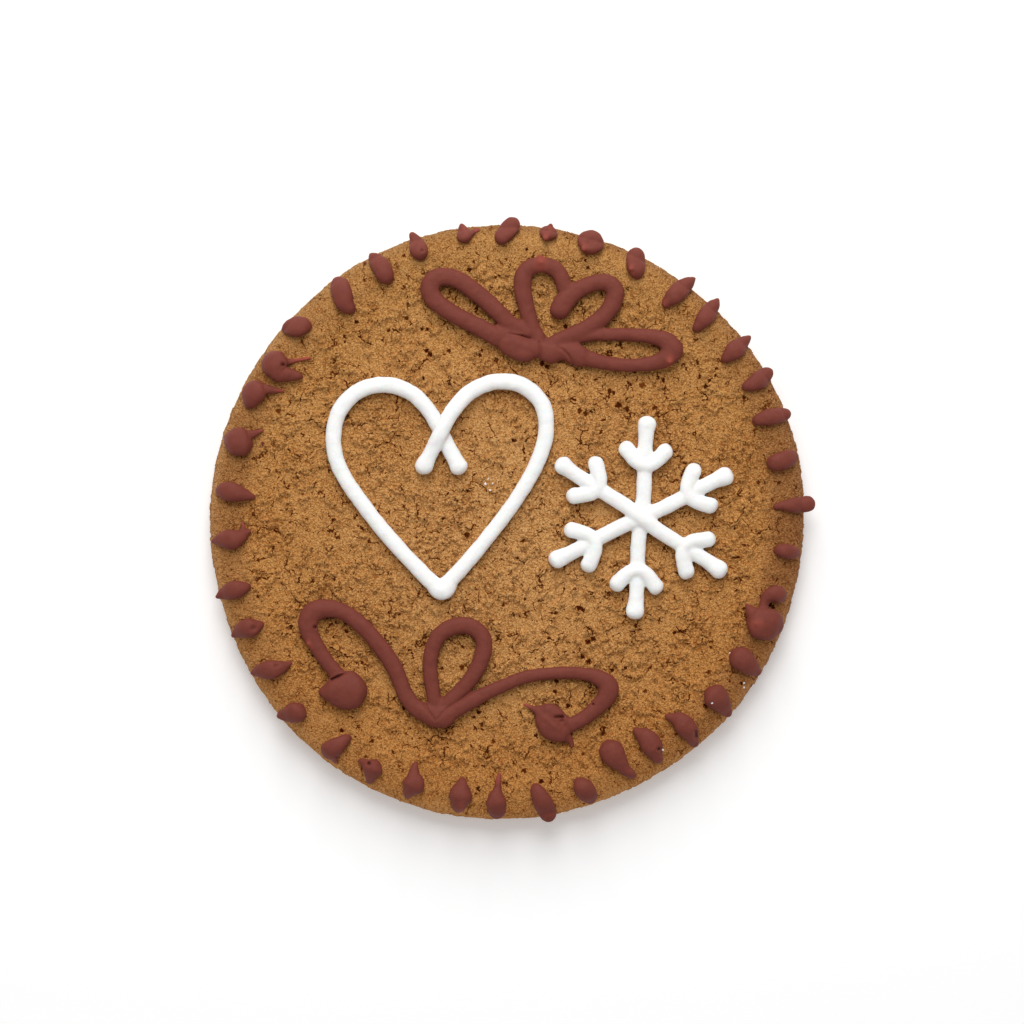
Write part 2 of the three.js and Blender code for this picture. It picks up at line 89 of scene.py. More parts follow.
# Red drops round the rim: each is a run of (clock, radius, width) from its outer end, with the clock in
# degrees from the top and a fourth number where it is lifted
RIM_DROPS = (
    ((2, 50.7, 1.9), (0.9, 49.3, 3), (359.5, 47.8, 2.9), (358.2, 46.2, 2)),
    ((8.4, 50, 1.8), (8.3, 48.8, 3), (8.1, 47.2, 2.6)),
    ((17, 50.8, 3.4), (16.8, 48.6, 4.6), (16.5, 46.4, 3)),
    ((25.5, 50.7, 2.4), (26.1, 49, 3.2), (27.2, 47.3, 3.2), (28.6, 45.8, 1.4)),
    ((37.8, 51.6, 0.5), (37.4, 50.2, 2.1), (36.9, 48.4, 3.1), (36.6, 46.6, 2.9), (36.3, 45.2, 1.9),
     (36.2, 44.2, 1.1)),
    ((43.6, 51.5, 0.5), (43.8, 50.1, 2.1), (44.1, 48.4, 3.1), (44.4, 46.8, 2.8), (44.5, 45.4, 1.8),
     (44.5, 44.3, 0.9)),
    ((52.8, 51.3, 0.5), (52.9, 50, 1.8), (53.1, 48.4, 3), (53.2, 47, 3), (53.3, 45.8, 2.1),
     (53.4, 44.6, 0.9)),
    ((60.4, 51.2, 1.2), (60.5, 49.8, 2.6), (60.8, 48.2, 3.1), (60.8, 46.9, 2.5), (60.5, 45, 1.3)),
    ((69.1, 50.9, 1.6), (68.8, 48.8, 2.6), (68.4, 47, 2.8), (68.1, 45.6, 2.2), (67.9, 44.1, 1.5)),
    ((77.2, 50, 2), (77.4, 48.3, 2.9), (77.7, 46.4, 3.1), (77.6, 44.3, 2.3)),
    ((86.6, 51.7, 2.4), (86.7, 50, 2.8), (86.8, 48.4, 2.6), (86.8, 47, 2.1), (86.8, 45.8, 1.4),
     (86.9, 44.5, 0.9)),
    ((96.4, 49.4, 1.6), (96.2, 47.8, 2.4), (96.1, 46.4, 2.5), (96.1, 44.7, 1.2)),
    # a curl beside a large blob
    ((105.1, 48.4, 2.7), (105.1, 47.2, 2.9), (105.1, 46.2, 2.8), (106.1, 45.3, 2.3), (107.6, 45, 1.6),
     (109.2, 45.3, 1.8)),
    ((110.8, 49.5, 4.6), (111.1, 48, 5.2), (111.7, 46.3, 5.5), (112, 44.6, 5.1), (112.3, 43.2, 3.8)),
    ((110.9, 44.4, 3), (110.1, 43.4, 2.1), (109.5, 42.7, 1.1), (109, 42.2, 0.4)),
    ((120.9, 49.6, 1.2), (121, 48.6, 2), (120.8, 47.4, 3.1), (120.5, 46, 3.8), (120.3, 44.8, 4),
     (120.2, 43.2, 2.8)),
    ((130.8, 49.7, 1.1), (130.8, 48.7, 1.9), (130.5, 47.5, 3), (130.1, 46.1, 3.9), (130, 44.9, 4.2),
     (130, 43.4, 2.9)),
    ((139.7, 49.4, 1.4), (139.6, 48.1, 1.9), (139, 46.6, 3.1), (138.9, 45, 3.5), (139.2, 43.7, 2.9),
     (140.1, 42.6, 1.5), (140.8, 41.7, 0.6)),
    ((147, 47.8, 1.5), (147.5, 46.4, 2.1), (147.2, 45, 3.5), (147, 43.7, 3.7), (147.4, 42.4, 3),
     (148.1, 41.3, 1.7), (148.6, 40.4, 0.7)),
    ((153.3, 48, 0.9), (153.8, 47, 1.7), (154.5, 45.8, 2), (154.9, 44.3, 3.1), (155.3, 42.8, 4.1),
     (155.6, 41.4, 4), (155.7, 40, 2.2)),
    ((163, 49.3, 1.9), (163.3, 47.7, 3.1), (163.9, 46.2, 3.4), (164.8, 44.3, 1.9)),
    ((171.7, 50.8, 2.1), (172, 49, 3.1), (172.6, 47.2, 3.3), (173.4, 45.4, 2.6), (174.1, 43.9, 1.4)),
    ((181.9, 49.9, 1.8), (181.9, 48.4, 3), (182.1, 46.9, 3.4), (182.1, 45.6, 2.5), (181.9, 44.4, 1.2),
     (181.8, 43.2, 1), (181.5, 41.8, 0.5)),
    ((189.4, 49.4, 1.5), (189.5, 47.9, 2.8), (189.5, 46.5, 4), (189.6, 45.2, 3.2), (189.6, 44.1, 1.7),
     (189.8, 43.2, 0.6)),
    ((199.8, 49.4, 0.6), (199.8, 48, 2.3), (199.5, 46.8, 3.9), (199.6, 45.8, 3.5), (200.2, 44.7, 1.9),
     (200.5, 43.6, 1.3), (200.6, 42.7, 0.6)),
    ((207.7, 49.6, 0.8), (208, 48.2, 2.2), (208.4, 46.9, 3.5), (208.5, 45.2, 2.8)),
    ((208.9, 46.6, 2.6), (210.8, 46.7, 1.3), (211.9, 46.9, 0.5)),
    ((217.7, 49.9, 2.2), (217.5, 48.4, 3.4), (217.1, 47, 3.1), (216.6, 45.6, 2.2), (216.1, 44.1, 1.1)),
    ((215, 49.5, 0.8), (215.6, 49.2, 1), (216.6, 48.7, 1.4)),
    ((229.6, 50.5, 0.6), (229.1, 49.5, 1.9), (228.3, 48.3, 3.3), (227.8, 47.1, 3.8), (228, 45.6, 2.3)),
    ((239.3, 49.9, 0.5), (238.9, 48.6, 1.9), (238.3, 47.3, 3), (237.6, 46, 3.3), (237.1, 44.7, 2.3),
     (236.8, 43.5, 1.1), (236.8, 42.7, 0.5)),
    ((247.2, 49.9, 0.5), (247.5, 48.6, 2), (247.6, 47.2, 3.2), (247.4, 45.9, 3.3), (247.2, 44.7, 1.9),
     (247.1, 43.8, 0.8)),
    ((255.3, 50.3, 0.5), (255.6, 48.9, 2), (255.8, 47.4, 3), (255.8, 46, 3), (255.8, 44.6, 1.7),
     (255.8, 43.8, 0.9)),
    ((266, 49.5, 0.6), (266.3, 48.1, 2), (266.3, 46.8, 3.2), (266.3, 45.4, 3.4), (266.8, 44.3, 2.4),
     (267.6, 43.3, 1.1), (267.9, 42.5, 0.5)),
    ((266.9, 44.5, 1.8), (268.6, 43.8, 0.9), (270.1, 44.2, 0.5)),
    ((275.8, 49, 1.1), (276.1, 47.6, 2.8), (276.1, 46.1, 3.4), (275.9, 44.7, 2.8), (275.6, 43.3, 1.8),
     (275.3, 42, 0.8)),
    ((286.8, 49.3, 0.9), (286.7, 48.2, 3.4), (286.6, 46.9, 4.8), (286.5, 45.5, 4.3), (286.9, 44.1, 2.2)),
    ((288.2, 45.7, 2.8), (289.3, 44.4, 1.2), (290.7, 43.2, 0.4)),
    ((293.4, 47.4, 0.8), (294.7, 47.2, 2.7), (296.1, 47.2, 3.9), (297.7, 47.1, 4), (299.7, 46.9, 2.6)),
    ((298.4, 46.5, 2.4), (299, 45.2, 1.5), (299.7, 44, 0.9), (300.5, 42.8, 0.4)),
    ((305.6, 48.7, 2.2), (304.8, 47.5, 4.2), (303.9, 46.3, 4.4), (303.1, 45, 3.1), (303.8, 43.9, 2.4),
     (304.6, 42.7, 1.7), (305.4, 41.5, 0.8)),
    ((305.3, 46.6, 2.2), (306.2, 45, 1.1), (307.8, 43.8, 0.7), (310, 42.4, 0.4)),
    ((310.4, 49.3, 1.1), (311.7, 48.5, 2.9), (312.9, 47.6, 3.7), (314, 46.8, 3), (315.2, 45.8, 1.1)),
    ((325, 49.8, 2.1), (324.7, 48.2, 3.4), (324, 46.4, 3.5), (323.5, 44.9, 3), (324, 43, 1.6)),
    ((333, 50.3, 0.8), (333.4, 48.9, 2.5), (333.8, 47.3, 3.2), (333.8, 45.8, 3.1), (333.8, 44, 1.8)),
    ((341.6, 50.9, 0.8), (342, 49.6, 1.9), (342.1, 48.1, 3), (342.2, 46.9, 2.9), (342.2, 45.6, 1.5)),
    ((351.3, 50.4, 0.6), (351.5, 49.3, 1.8), (351.6, 48.2, 2.8), (351.9, 46.8, 2)),
    ((352.2, 48.1, 1.7), (353.5, 48.7, 0.9), (354.8, 49.1, 0.8)),
)

# Piped lines: each is a run of (x, y, width) in mm along its middle, with a fourth number where it is lifted
TOP_ORNAMENT = (
    ((4.6, 30.9, 2.2), (3.1, 31.7, 2.5), (0.9, 32.7, 2.8), (-1.2, 34.6, 3), (-3.2, 36.5, 3),
     (-5.9, 38.7, 3.1), (-8.2, 40.2, 3.1), (-10.1, 40.7, 3.1), (-11.9, 40.4, 3.2), (-12.7, 39.1, 3.3),
     (-12.4, 37.4, 3.2),
     (-11.1, 36, 3.1), (-8.7, 34.4, 3), (-5.6, 32.8, 3), (-2.7, 31.3, 3.2), (-0.3, 29.8, 3.3)),
    ((5.8, 29, 2.6), (5.3, 30.5, 2.6), (4.3, 32.4, 2.6), (3.4, 35.3, 2.8), (2.8, 37.9, 3), (2.7, 40.1, 3.1),
     (3.3, 41.7, 3), (4.9, 42.6, 2.8), (7.1, 42.5, 2.7), (8.8, 41.3, 2.7), (9.5, 39.6, 2.8),
     (9.8, 37.7, 2.8)),
    ((8.3, 33.6, 2.8), (8.6, 34.6, 3.3), (9.3, 36, 3.6), (10.8, 37.7, 3.2), (12.7, 38.9, 2.9),
     (14.9, 39.7, 2.9), (17, 39.6, 3), (18.1, 38.2, 3.1), (17.6, 36.1, 3.1), (16.1, 34.1, 3),
     (13.7, 32.4, 2.9), (11.3, 31.2, 2.8), (8.4, 29.9, 2.7), (6.4, 29, 2.6)),
    ((7.6, 28.8, 2.4), (10.8, 30.4, 2.3), (13.7, 31, 2.3), (16.5, 31.1, 2.2), (21.3, 31, 2.3),
     (24.7, 30.6, 2.7), (26.8, 29.8, 3.3), (27.6, 28.5, 3.7), (26.6, 27.2, 3.2), (24.7, 26.4, 2.6),
     (21.3, 26, 2.3), (17.5, 26.2, 2.4), (14.2, 26.9, 2.7), (12, 27.8, 2.8)),
    ((-1.2, 30.5, 3), (0.7, 29.3, 3.8), (3.1, 28.5, 4.1), (5.3, 28.6, 3)),
    ((5.4, 28.8, 2.6), (7.2, 27.9, 3.4), (9.3, 27.8, 2.8)),
    ((9.4, 29, 2.8), (11.6, 27.7, 3.7), (13.9, 26.6, 3)),
    ((0.5, 29.5, 2.6), (3.6, 28.9, 3), (7.4, 28.5, 3.2), (11.2, 28.1, 3), (14.1, 27, 2.6)),
    ((-2.2, 32.3, 1.8), (-0.4, 31.3, 2.6), (1.6, 30.7, 2.8), (3.6, 30, 2.6)),
    ((5.6, 42.5, 1.5, 1.2), (5.8, 43.7, 1.6, 0.9)), ((5.7, 43.4, 1.2, 0.6), (5.5, 44.6, 0.6, 0.1)),
)
BOTTOM_ORNAMENT = (
    ((-27.2, -26.3, 2.4), (-28.3, -25.2, 2.5), (-29.6, -23.7, 2.5), (-30.9, -21.9, 2.6), (-31.9, -20.2, 2.7),
     (-32.8, -18.5, 3.1), (-33, -16.8, 3.4), (-32.5, -15.4, 3.5), (-31, -14.6, 3.4),
     (-29.3, -14.5, 3.1), (-27.7, -14.9, 2.9), (-26, -15.8, 2.8), (-24.2, -17.2, 2.9),
     (-22.5, -19, 2.9), (-20.8, -21.1, 2.9), (-19.3, -23.2, 2.9), (-18.2, -25.3, 2.8),
     (-17.5, -27.1, 2.7), (-16.7, -29, 2.7), (-15.5, -30.6, 2.9), (-13.7, -31.8, 3.2), (-11.6, -32.6, 3.2)),
    ((-31.5, -28.4, 0.7), (-30.3, -28.4, 2.5), (-28.9, -28.3, 5), (-27.2, -28.2, 6.4), (-25.2, -28, 6.5),
     (-23.1, -27.7, 5)),
    ((-11.6, -32, 2), (-12, -30, 2.4), (-12.3, -27.9, 2.5), (-12.6, -25.7, 2.6), (-12.7, -23.3, 2.6),
     (-12.3, -21.1, 2.7), (-11.4, -19.3, 2.8), (-9.8, -17.9, 2.9), (-7.5, -17.3, 2.9), (-5.5, -17.7, 2.9),
     (-4.1, -19, 2.9), (-3.7, -20.8, 2.9), (-4.3, -23.2, 2.9), (-5.8, -26, 2.7), (-7.8, -28.3, 2.5),
     (-9.8, -30.1, 2.3), (-11.3, -31.7, 2)),
    ((-11.2, -32.9, 2.8), (-8.9, -31.5, 3), (-6.3, -30.1, 2.8), (-3.8, -28.8, 2.5), (-1.2, -27.6, 2.3),
     (1.1, -26.6, 2.2), (3.6, -25.8, 2.2), (7.3, -25.3, 2.1), (10.6, -25.2, 2.2), (13.3, -25.4, 2.3),
     (15.5, -26.1, 2.9), (16.8, -27.1, 3.5), (17, -28.1, 3.5), (16.5, -29.4, 3.2), (15.3, -30.7, 2.8),
     (13.8, -32.1, 2.6), (12.3, -33.1, 2.4), (10.9, -33.9, 2.4), (9.9, -34.9, 2.2)),
    ((-14.8, -30.9, 2.6), (-12.8, -32.1, 3.6), (-10.7, -32.5, 3.9), (-8.6, -31.4, 3)),
    ((5.1, -31.4, 1), (5.9, -33, 2.5), (7, -34.4, 3.4), (8.7, -35.2, 3.3), (10.6, -35.2, 2.4)),
    ((2.6, -30.3, 0.6, 0.1), (4, -30.9, 0.9, 0.1), (5.4, -31.5, 1.7), (6.7, -31.5, 2.7), (8, -32, 2.9),
     (9.3, -33, 2.3), (10.6, -34.1, 2)),
    ((4.6, -31.2, 0.9, 0.3), (6.6, -32.8, 1.3, 1.1), (8.4, -34.3, 1.4, 1.2), (10.4, -35.8, 1.3, 0.5)),
    ((9.9, -35.6, 2.2), (10.7, -36.7, 1.1), (11, -37.9, 0.6)),
)
# Grooves and small holes pressed into the icing, with painted shade where they are deep: runs of
# (x, y, half width, depth) in mm
CREASES = (
    ((0.3, 31.2, 0.2, 0.1), (1.5, 31, 0.12, 0.35), (2.7, 30.8, 0.13, 0.75), (3.9, 30.4, 0.13, 0.3)),
    ((5.5, 29.6, 0.25, 0.2), (5.6, 28.3, 0.25, 0.35), (5.5, 26.8, 0.25, 0.35)),
    ((8.6, 29, 0.22, 0.15), (9.8, 28.1, 0.22, 0.33), (10.6, 27, 0.22, 0.35), (10.9, 26.1, 0.22, 0.3)),
    ((0.8, 28.9, 0.9, 0.15), (2.4, 28.6, 1, 0.25), (3.4, 28.4, 0.8, 0.15)),
    ((-29.1, -26.3, 0.2, 0.9), (-28, -25.8, 0.2, 0.9), (-26.7, -25.2, 0.15, 0.4)),
    ((-5.6, -28.2, 0.25, 0.5), (-8.1, -30, 0.25, 0.3), (-10.2, -31.4, 0.25, 0.25), (-11.4, -32.8, 0.2, 0.15)),
    ((-13.8, -29.8, 0.25, 0.5), (-13, -31.4, 0.25, 0.3), (-11.9, -33, 0.2, 0.15)),
    ((8.2, -32.5, 0.22, 0.6), (9.3, -32.5, 0.28, 0.85)), ((9.2, -33.1, 0.3, 0.6),),
    ((-31.8, -17.6, 0.25, 0.8),), ((14.4, -30.4, 0.18, 0.7),),
)
# The same in the rim drops, as (clock, radius, half width, depth)
RIM_CREASES = (
    ((16.6, 48.2, 0.7, 0.3),), ((138, 47, 0.28, 0.65), (138.6, 47.8, 0.38, 0.85)), ((146.2, 45.5, 0.3, 0.8),),
    ((118.4, 46.5, 0.3, 0.1), (120.4, 47.5, 0.3, 0.28), (122.6, 47, 0.3, 0.1)),
    ((128.3, 46.9, 0.3, 0.1), (130.3, 47.7, 0.3, 0.28), (132.4, 47.3, 0.3, 0.1)),
    ((305, 45.3, 0.3, 0.8),), ((342.7, 47.1, 0.25, 0.4),), ((209.6, 46.3, 0.3, 0.9),),
    ((247, 45.6, 0.45, 0.45),), ((237.9, 45.1, 0.35, 0.4),), ((215.4, 48.3, 0.35, 1.1),),
    ((111.4, 46.2, 0.3, 0.12), (113.2, 46.9, 0.3, 0.15)),
)
# Small raised peaks and ridges, lighter than the icing under them, partly thin icing's own colour and
# partly a painted highlight: runs of (x, y, width, lift)
PEAKS = (((5.7, 43.1, 1.5, 1),), ((27.2, 26.5, 1.1, 1.4),), ((-32.9, -20.4, 0.9, 1.2),))
# and on the rim drops: runs of (clock, radius, width, lift)
RIM_PEAKS = (
    ((7.9, 47.6, 1.1, 1.2),), ((8.5, 49.9, 0.8, 0.8),), ((15.9, 47.1, 1.1, 1.3),), ((26.3, 46.8, 0.9, 1.4),),
    ((36.2, 44.6, 0.8, 0.5),), ((188.9, 48.1, 1.1, 1),), ((351.9, 49.6, 0.6, 0.4),),
    ((112.8, 44.3, 1.2, 1.6), (111.9, 45.4, 1.2, 1.75)),
)
# Loose crumbs of dried icing: (x, y, size, lift) in mm
WHITE_CRUMBS = (
    (34.1, -30.2, 0.3, 1.9), (26, -38, 0.45, 0.7), (39.6, -27, 0.32, 0), (39.6, -27.7, 0.25, 0),
    (37.2, -22, 0.34, 0.2), (45, -19.1, 0.3, 0), (-3.5, 6.2, 0.45, 0), (-2.7, 5.2, 0.35, 0),
    (-3, 7.1, 0.3, 0), (-2.3, 6.3, 0.25, 0),
)
RED_CRUMBS = ((-40.6, 13, 0.55, 0), (-40.2, 12.4, 0.35, 0), (-23.7, 43.2, 0.5, 0), (-41.7, 10.9, 0.3, 0))
# The crumb's largest pits and short cracks: (x, y, radius, depth), with a depth of up to 1
PITS = (
    (-17.1, 44.2, 0.37, 1), (-6.2, 42, 0.54, 1), (-13.3, 28.5, 0.52, 1), (-12.8, 27.8, 0.54, 1),
    (-9.6, 28.5, 0.5, 0.9), (-4.1, 28.5, 0.37, 1), (-4.4, 27.7, 0.42, 1), (-16.7, 33.8, 0.5, 0.8),
    (-25, 33.2, 0.5, 1), (-19.7, 31.9, 0.42, 1), (-27, 30.7, 0.42, 0.9), (-27, 30, 0.35, 0.9),
    (-38, 18.4, 0.62, 0.55), (-23.6, 40.2, 0.46, 0.7), (-14.1, 32.2, 0.4, 1), (-13.2, 32, 0.4, 1),
    (3.4, 45.3, 0.35, 1), (10.1, 47.3, 0.33, 0.9), (13.2, 43.5, 0.35, 1), (13.6, 42.3, 0.4, 1),
    (9.9, 32.5, 0.5, 1), (5.9, 26.4, 0.54, 1), (6.8, 25.7, 0.5, 1), (16.2, 32, 0.67, 1),
    (26.2, 23.5, 0.46, 1), (22.7, 22.7, 0.75, 0.55), (17.2, 21.7, 0.5, 0.9), (17.9, 21.5, 0.42, 0.9),
    (18.7, 19.4, 0.71, 0.9),
    (20.1, 18.7, 0.62, 0.9), (24.7, 18.9, 0.62, 0.75), (25.2, 18, 0.52, 0.7), (12.2, 18.5, 0.58, 0.8),
    (13.2, 17.9, 0.54, 0.8), (33.2, 22.5, 0.5, 0.9), (33.9, 23.5, 0.46, 0.9), (35.1, 25.4, 0.37, 0.9),
    (34.9, 24.2, 0.37, 0.9), (39.6, 20.7, 0.42, 1), (-26.9, -16.9, 0.37, 1), (-26.7, -18.4, 0.46, 1),
    (-35.9, -17.6, 0.42, 0.9), (-34, -19.3, 0.58, 0.8), (-16.2, -21.4, 0.37, 1), (-15.7, -21.9, 0.37, 1),
    (-7.4, -24.4, 0.62, 0.7), (-32.2, -22.4, 0.37, 1), (-17.1, -31.1, 0.5, 1), (-4.6, -31.8, 0.46, 1),
    (-5.4, -32.6, 0.42, 1), (-4.1, -33.8, 0.48, 0.8), (-4.1, -34.6, 0.42, 0.8), (-27.5, -34.9, 0.48, 1),
    (-2.2, -36.6, 0.5, 0.75), (-22.4, -36.6, 0.46, 0.8), (-4.7, -44.6, 0.46, 0.9), (-5.1, -45.4, 0.37, 0.9),
    (13.6, -20.1, 0.62, 1), (14.4, -19.6, 0.5, 1), (12.7, -22.6, 0.54, 1), (13.7, -23.4, 0.6, 1),
    (17.6, -24.8, 0.48, 1), (19.9, -24.4, 0.46, 0.9), (6.1, -23.1, 0.5, 1), (8.3, -26.6, 0.5, 1),
    (8.1, -28.4, 0.48, 0.9), (10.2, -30.8, 0.5, 1), (4.9, -35.7, 0.46, 1), (16.1, -35.4, 0.54, 0.9),
    (34.2, -20.1, 0.46, 0.8), (34.1, -21.1, 0.37, 0.8), (37.6, -23.6, 0.58, 1), (33.7, -25.1, 0.58, 0.6),
    (28.1, -18.6, 0.5, 1), (28.9, -18.4, 0.42, 1), (23.1, -28.3, 0.54, 0.6), (33.2, -30.8, 0.5, 1),
    (2.9, -41.6, 0.5, 0.8), (5.8, -43.4, 0.5, 1), (44, -13.8, 0.58, 1), (44.5, -14.3, 0.42, 1),
    (41.1, -27.6, 0.37, 1), (39.2, -27.2, 0.37, 1), (-6.6, -2.3, 0.65, 0.9), (12.1, -14.4, 0.62, 1),
    (12.7, -14.8, 0.54, 1), (-29.5, 11, 0.37, 0.9), (-29.5, 9.9, 0.4, 0.9), (-29.6, 8.5, 0.37, 0.9),
)
HEART = (
    ((-7.3, 7.9, 3.7), (-8.7, 10.5, 2.7), (-10.5, 14, 2.6), (-12.9, 18.4, 2.6), (-16.1, 21.5, 2.7),
     (-20.3, 22.7, 2.7), (-24.5, 21.7, 2.7), (-27.7, 18.5, 2.7), (-28.8, 13.7, 2.7), (-27.7, 8.8, 2.6),
     (-21.1, -0.8, 2.6), (-13.2, -9.4, 2.7), (-10.7, -11.6, 2.9)),
    ((-11.5, -11.7, 2.9), (-9.2, -9.7, 2.7), (-1.8, -1, 2.5), (1.9, 4.1, 2.5), (5, 9.5, 2.6),
     (6.6, 14.8, 2.7), (5.8, 19.7, 2.8), (2.4, 22.7, 2.8), (-1.9, 23.2, 2.7), (-6.1, 21.4, 2.7, 0.3),
     (-9, 18.2, 2.7, 1), (-11, 14.5, 2.6, 1.2), (-12.7, 11.1, 2.6, 0.4), (-14.4, 7.9, 3.4)),
    ((-12.9, -9.9, 2.4), (-10.7, -11.4, 3.5), (-8.7, -9.4, 2.4)),
)
# The snowflake's sizes in mm and degrees
SNOW = {"x": 22.4, "y": 0.6, "turn": 4, "reach": 17, "width": 2.6, "tip": 3.8, "tip_length": 3.5,
        "bend": 0.15, "run": 4, "crossing_lift": 0.9}
CHEVRON = {"at": 8.9, "long": 3.4, "wide": 4.1, "nose": 0.9, "width": 2.4, "tip": 2.9, "lift": 0.5}


def linear(hex_colour):
    """Linear red, green, blue and alpha of an sRGB hex colour."""
    shares = [int(hex_colour[i:i + 2], 16) / 255 for i in (1, 3, 5)]
    return tuple(c / 12.92 if c <= 0.04045 else ((c + 0.055) / 1.055) ** 2.4 for c in shares) + (1.0,)


class CrustSettings(bpy.types.PropertyGroup):
    """Sizes and colours of the baked crumb"""
    radius: FloatProperty(
        name="Radius", description="Radius of the biscuit", default=0.05, unit="LENGTH")
    thickness: FloatProperty(
        name="Thickness", description="Height of the crust over the floor", default=0.008, unit="LENGTH")
    shoulder_run: FloatProperty(
        name="Shoulder run", description="How far in from the edge the top starts to fall",
        default=0.005, unit="LENGTH")
    shoulder_fall: FloatProperty(
        name="Shoulder fall", description="How far the top has fallen at the widest point",
        default=0.0048, unit="LENGTH")
    foot_run: FloatProperty(
        name="Foot run", description="How far the underside is tucked in", default=0.0016, unit="LENGTH")
    grid: FloatProperty(
        name="Grid", description="Distance between the points that the crumb is shaped on",
        default=0.0002, unit="LENGTH")
    triangles: IntProperty(
        name="Triangles", description="Triangles that are kept of the finished crust", default=188000)
    crack_depth: FloatProperty(
        name="Crack depth", description="Depth of the cracks and pits", default=0.00055, unit="LENGTH")
    grain_height: FloatProperty(
        name="Grain height", description="Height of the crumb's grains", default=0.00007, unit="LENGTH")
    colour: FloatVectorProperty(
        name="Crumb", description="Colour of the baked crumb", subtype="COLOR", size=4, min=0, max=1,
        default=linear("#C1894C"))
    # the lightest grains, partly painted light on their tops
    light_colour: FloatVectorProperty(
        name="Light grains", description="Colour of the lightest grains", subtype="COLOR", size=4,
        min=0, max=1, default=linear("#D09C60"))
    # browned crumb, partly painted shade between the grains
    browned_and_shaded_colour: FloatVectorProperty(
        name="Browned crumb", description="Colour where the crumb is browned", subtype="COLOR", size=4,
        min=0, max=1, default=linear("#8A5222"))
    # the sides of pits and cracks: the crumb's own deeper brown with painted shade
    side_brown_and_shade_colour: FloatVectorProperty(
        name="Sides of hollows", description="Colour of the sides of pits and cracks", subtype="COLOR",
        size=4, min=0, max=1, default=linear("#70390B"))
    # painted shade deep in pits and cracks
    hollow_painted_shade_colour: FloatVectorProperty(
        name="Hollows", description="Colour deep in pits and cracks", subtype="COLOR", size=4,
        min=0, max=1, default=linear("#3E1302"))


class IcingSettings(bpy.types.PropertyGroup):
    """Sizes and colours of the piped icing"""
    voxel: FloatProperty(
        name="Voxel", description="Size of the cells that fuse the piped lines", default=0.00016,
        unit="LENGTH")
    triangles: IntProperty(
        name="Triangles", description="Most triangles that a piece of icing keeps", default=190000)
    wobble: FloatProperty(
        name="Wobble", description="How uneven the dried skin is", default=0.00009, unit="LENGTH")
    red: FloatVectorProperty(
        name="Red", description="Colour of the red icing", subtype="COLOR", size=4, min=0, max=1,
        default=linear("#75372B"))
    # the thin tips' own colour, also used as the painted highlight on peaks
    red_thin_and_highlight: FloatVectorProperty(
        name="Thin red", description="Colour of the red icing at its thin tips", subtype="COLOR", size=4,
        min=0, max=1, default=linear("#A54C3C"))
    white: FloatVectorProperty(
        name="White", description="Colour of the white icing", subtype="COLOR", size=4, min=0, max=1,
        default=linear("#F4F4F2"))


class StageSettings(bpy.types.PropertyGroup):
    """Camera, light and floor"""
    camera_height: FloatProperty(
        name="Camera height", description="Height of the camera over the floor", default=0.4818,
        unit="LENGTH")
    lens: FloatProperty(name="Lens", description="Focal length in mm", default=100)
    key_power: FloatProperty(name="Key", description="Power of the window light in watts", default=4.1)
    sky: FloatProperty(name="Sky", description="Strength of the even light from all round", default=0.48)
    glow: FloatProperty(
        name="Glow", description="Light that comes through the floor, as from a light table", default=0.15)
    floor: FloatVectorProperty(
        name="Floor", description="Colour of the floor", subtype="COLOR", size=4, min=0, max=1,
        default=linear("#F4F4F4"))


def crust_settings():
    """The crust's settings."""
    return bpy.context.scene.biscuit_crust


def icing_settings():
    """The icing's settings."""
    return bpy.context.scene.biscuit_icing


def add(tree, kind, inputs=(), **settings):
    """A node with its settings. Each input is a value, a node, whose first output is used, or an output."""
    made = tree.nodes.new(kind)
    for name, value in settings.items():
        setattr(made, name, value)
    for key, value in inputs.items() if isinstance(inputs, dict) else enumerate(inputs):
        if isinstance(value, bpy.types.Node):
            value = next(out for out in value.outputs if not out.is_unavailable)
        if isinstance(value, bpy.types.NodeSocket):
            tree.links.new(value, made.inputs[key])
        elif value is not None:
            made.inputs[key].default_value = value
    return made


def new_group(name, kind, inputs, outputs):
    """An empty node group with sockets given as (name, type, default), and its two end nodes."""
    group = bpy.data.node_groups.new(name, kind)
    for in_out, sockets in (("INPUT", inputs), ("OUTPUT", outputs)):
        for label, socket_type, *default in sockets:
            socket = group.interface.new_socket(label, in_out=in_out, socket_type=socket_type)
            if default:
                socket.default_value = default[0]
    return group, group.nodes.new("NodeGroupInput"), group.nodes.new("NodeGroupOutput")


def edge_radius_mm(angle):
    """Radius of the outline at an angle."""
    waves = sum(height * np.cos(count * angle + math.radians(phase)) for count, height, phase in EDGE_WAVES)
    return crust_settings().radius / MM + waves


def shoulder_fall_mm(radius_mm):
    """How far the shoulder has fallen at a radius of the round biscuit."""
    crust = crust_settings()
    run = crust.shoulder_run / MM
    part = np.clip((radius_mm - crust.radius / MM + run) / run, 0, 1)
    return crust.shoulder_fall / MM * (1 - (1 - part ** SHOULDER_POWER) ** (1 / SHOULDER_POWER))


def unevenness_mm(x, y):
    """Gentle rise and fall of the top."""
    rise = 0
    for height, length, heading, phase in TOP_WAVES:
        along = x * math.cos(math.radians(heading)) + y * math.sin(math.radians(heading))
        rise = rise + height * np.cos(2 * math.pi * along / length + math.radians(phase))
    return rise


def crust_height_mm(x, y):
    """Height of the crust under points, held to the rim's for points past it."""
    radius = np.hypot(x, y)
    edge = edge_radius_mm(np.arctan2(y, x))
    keep = np.minimum(1, (edge - RIM_CLEARANCE_MM) / np.maximum(radius, 1))
    fall = shoulder_fall_mm(radius * keep * crust_settings().radius / MM / edge)
    return crust_settings().thickness / MM + unevenness_mm(x * keep, y * keep) - fall


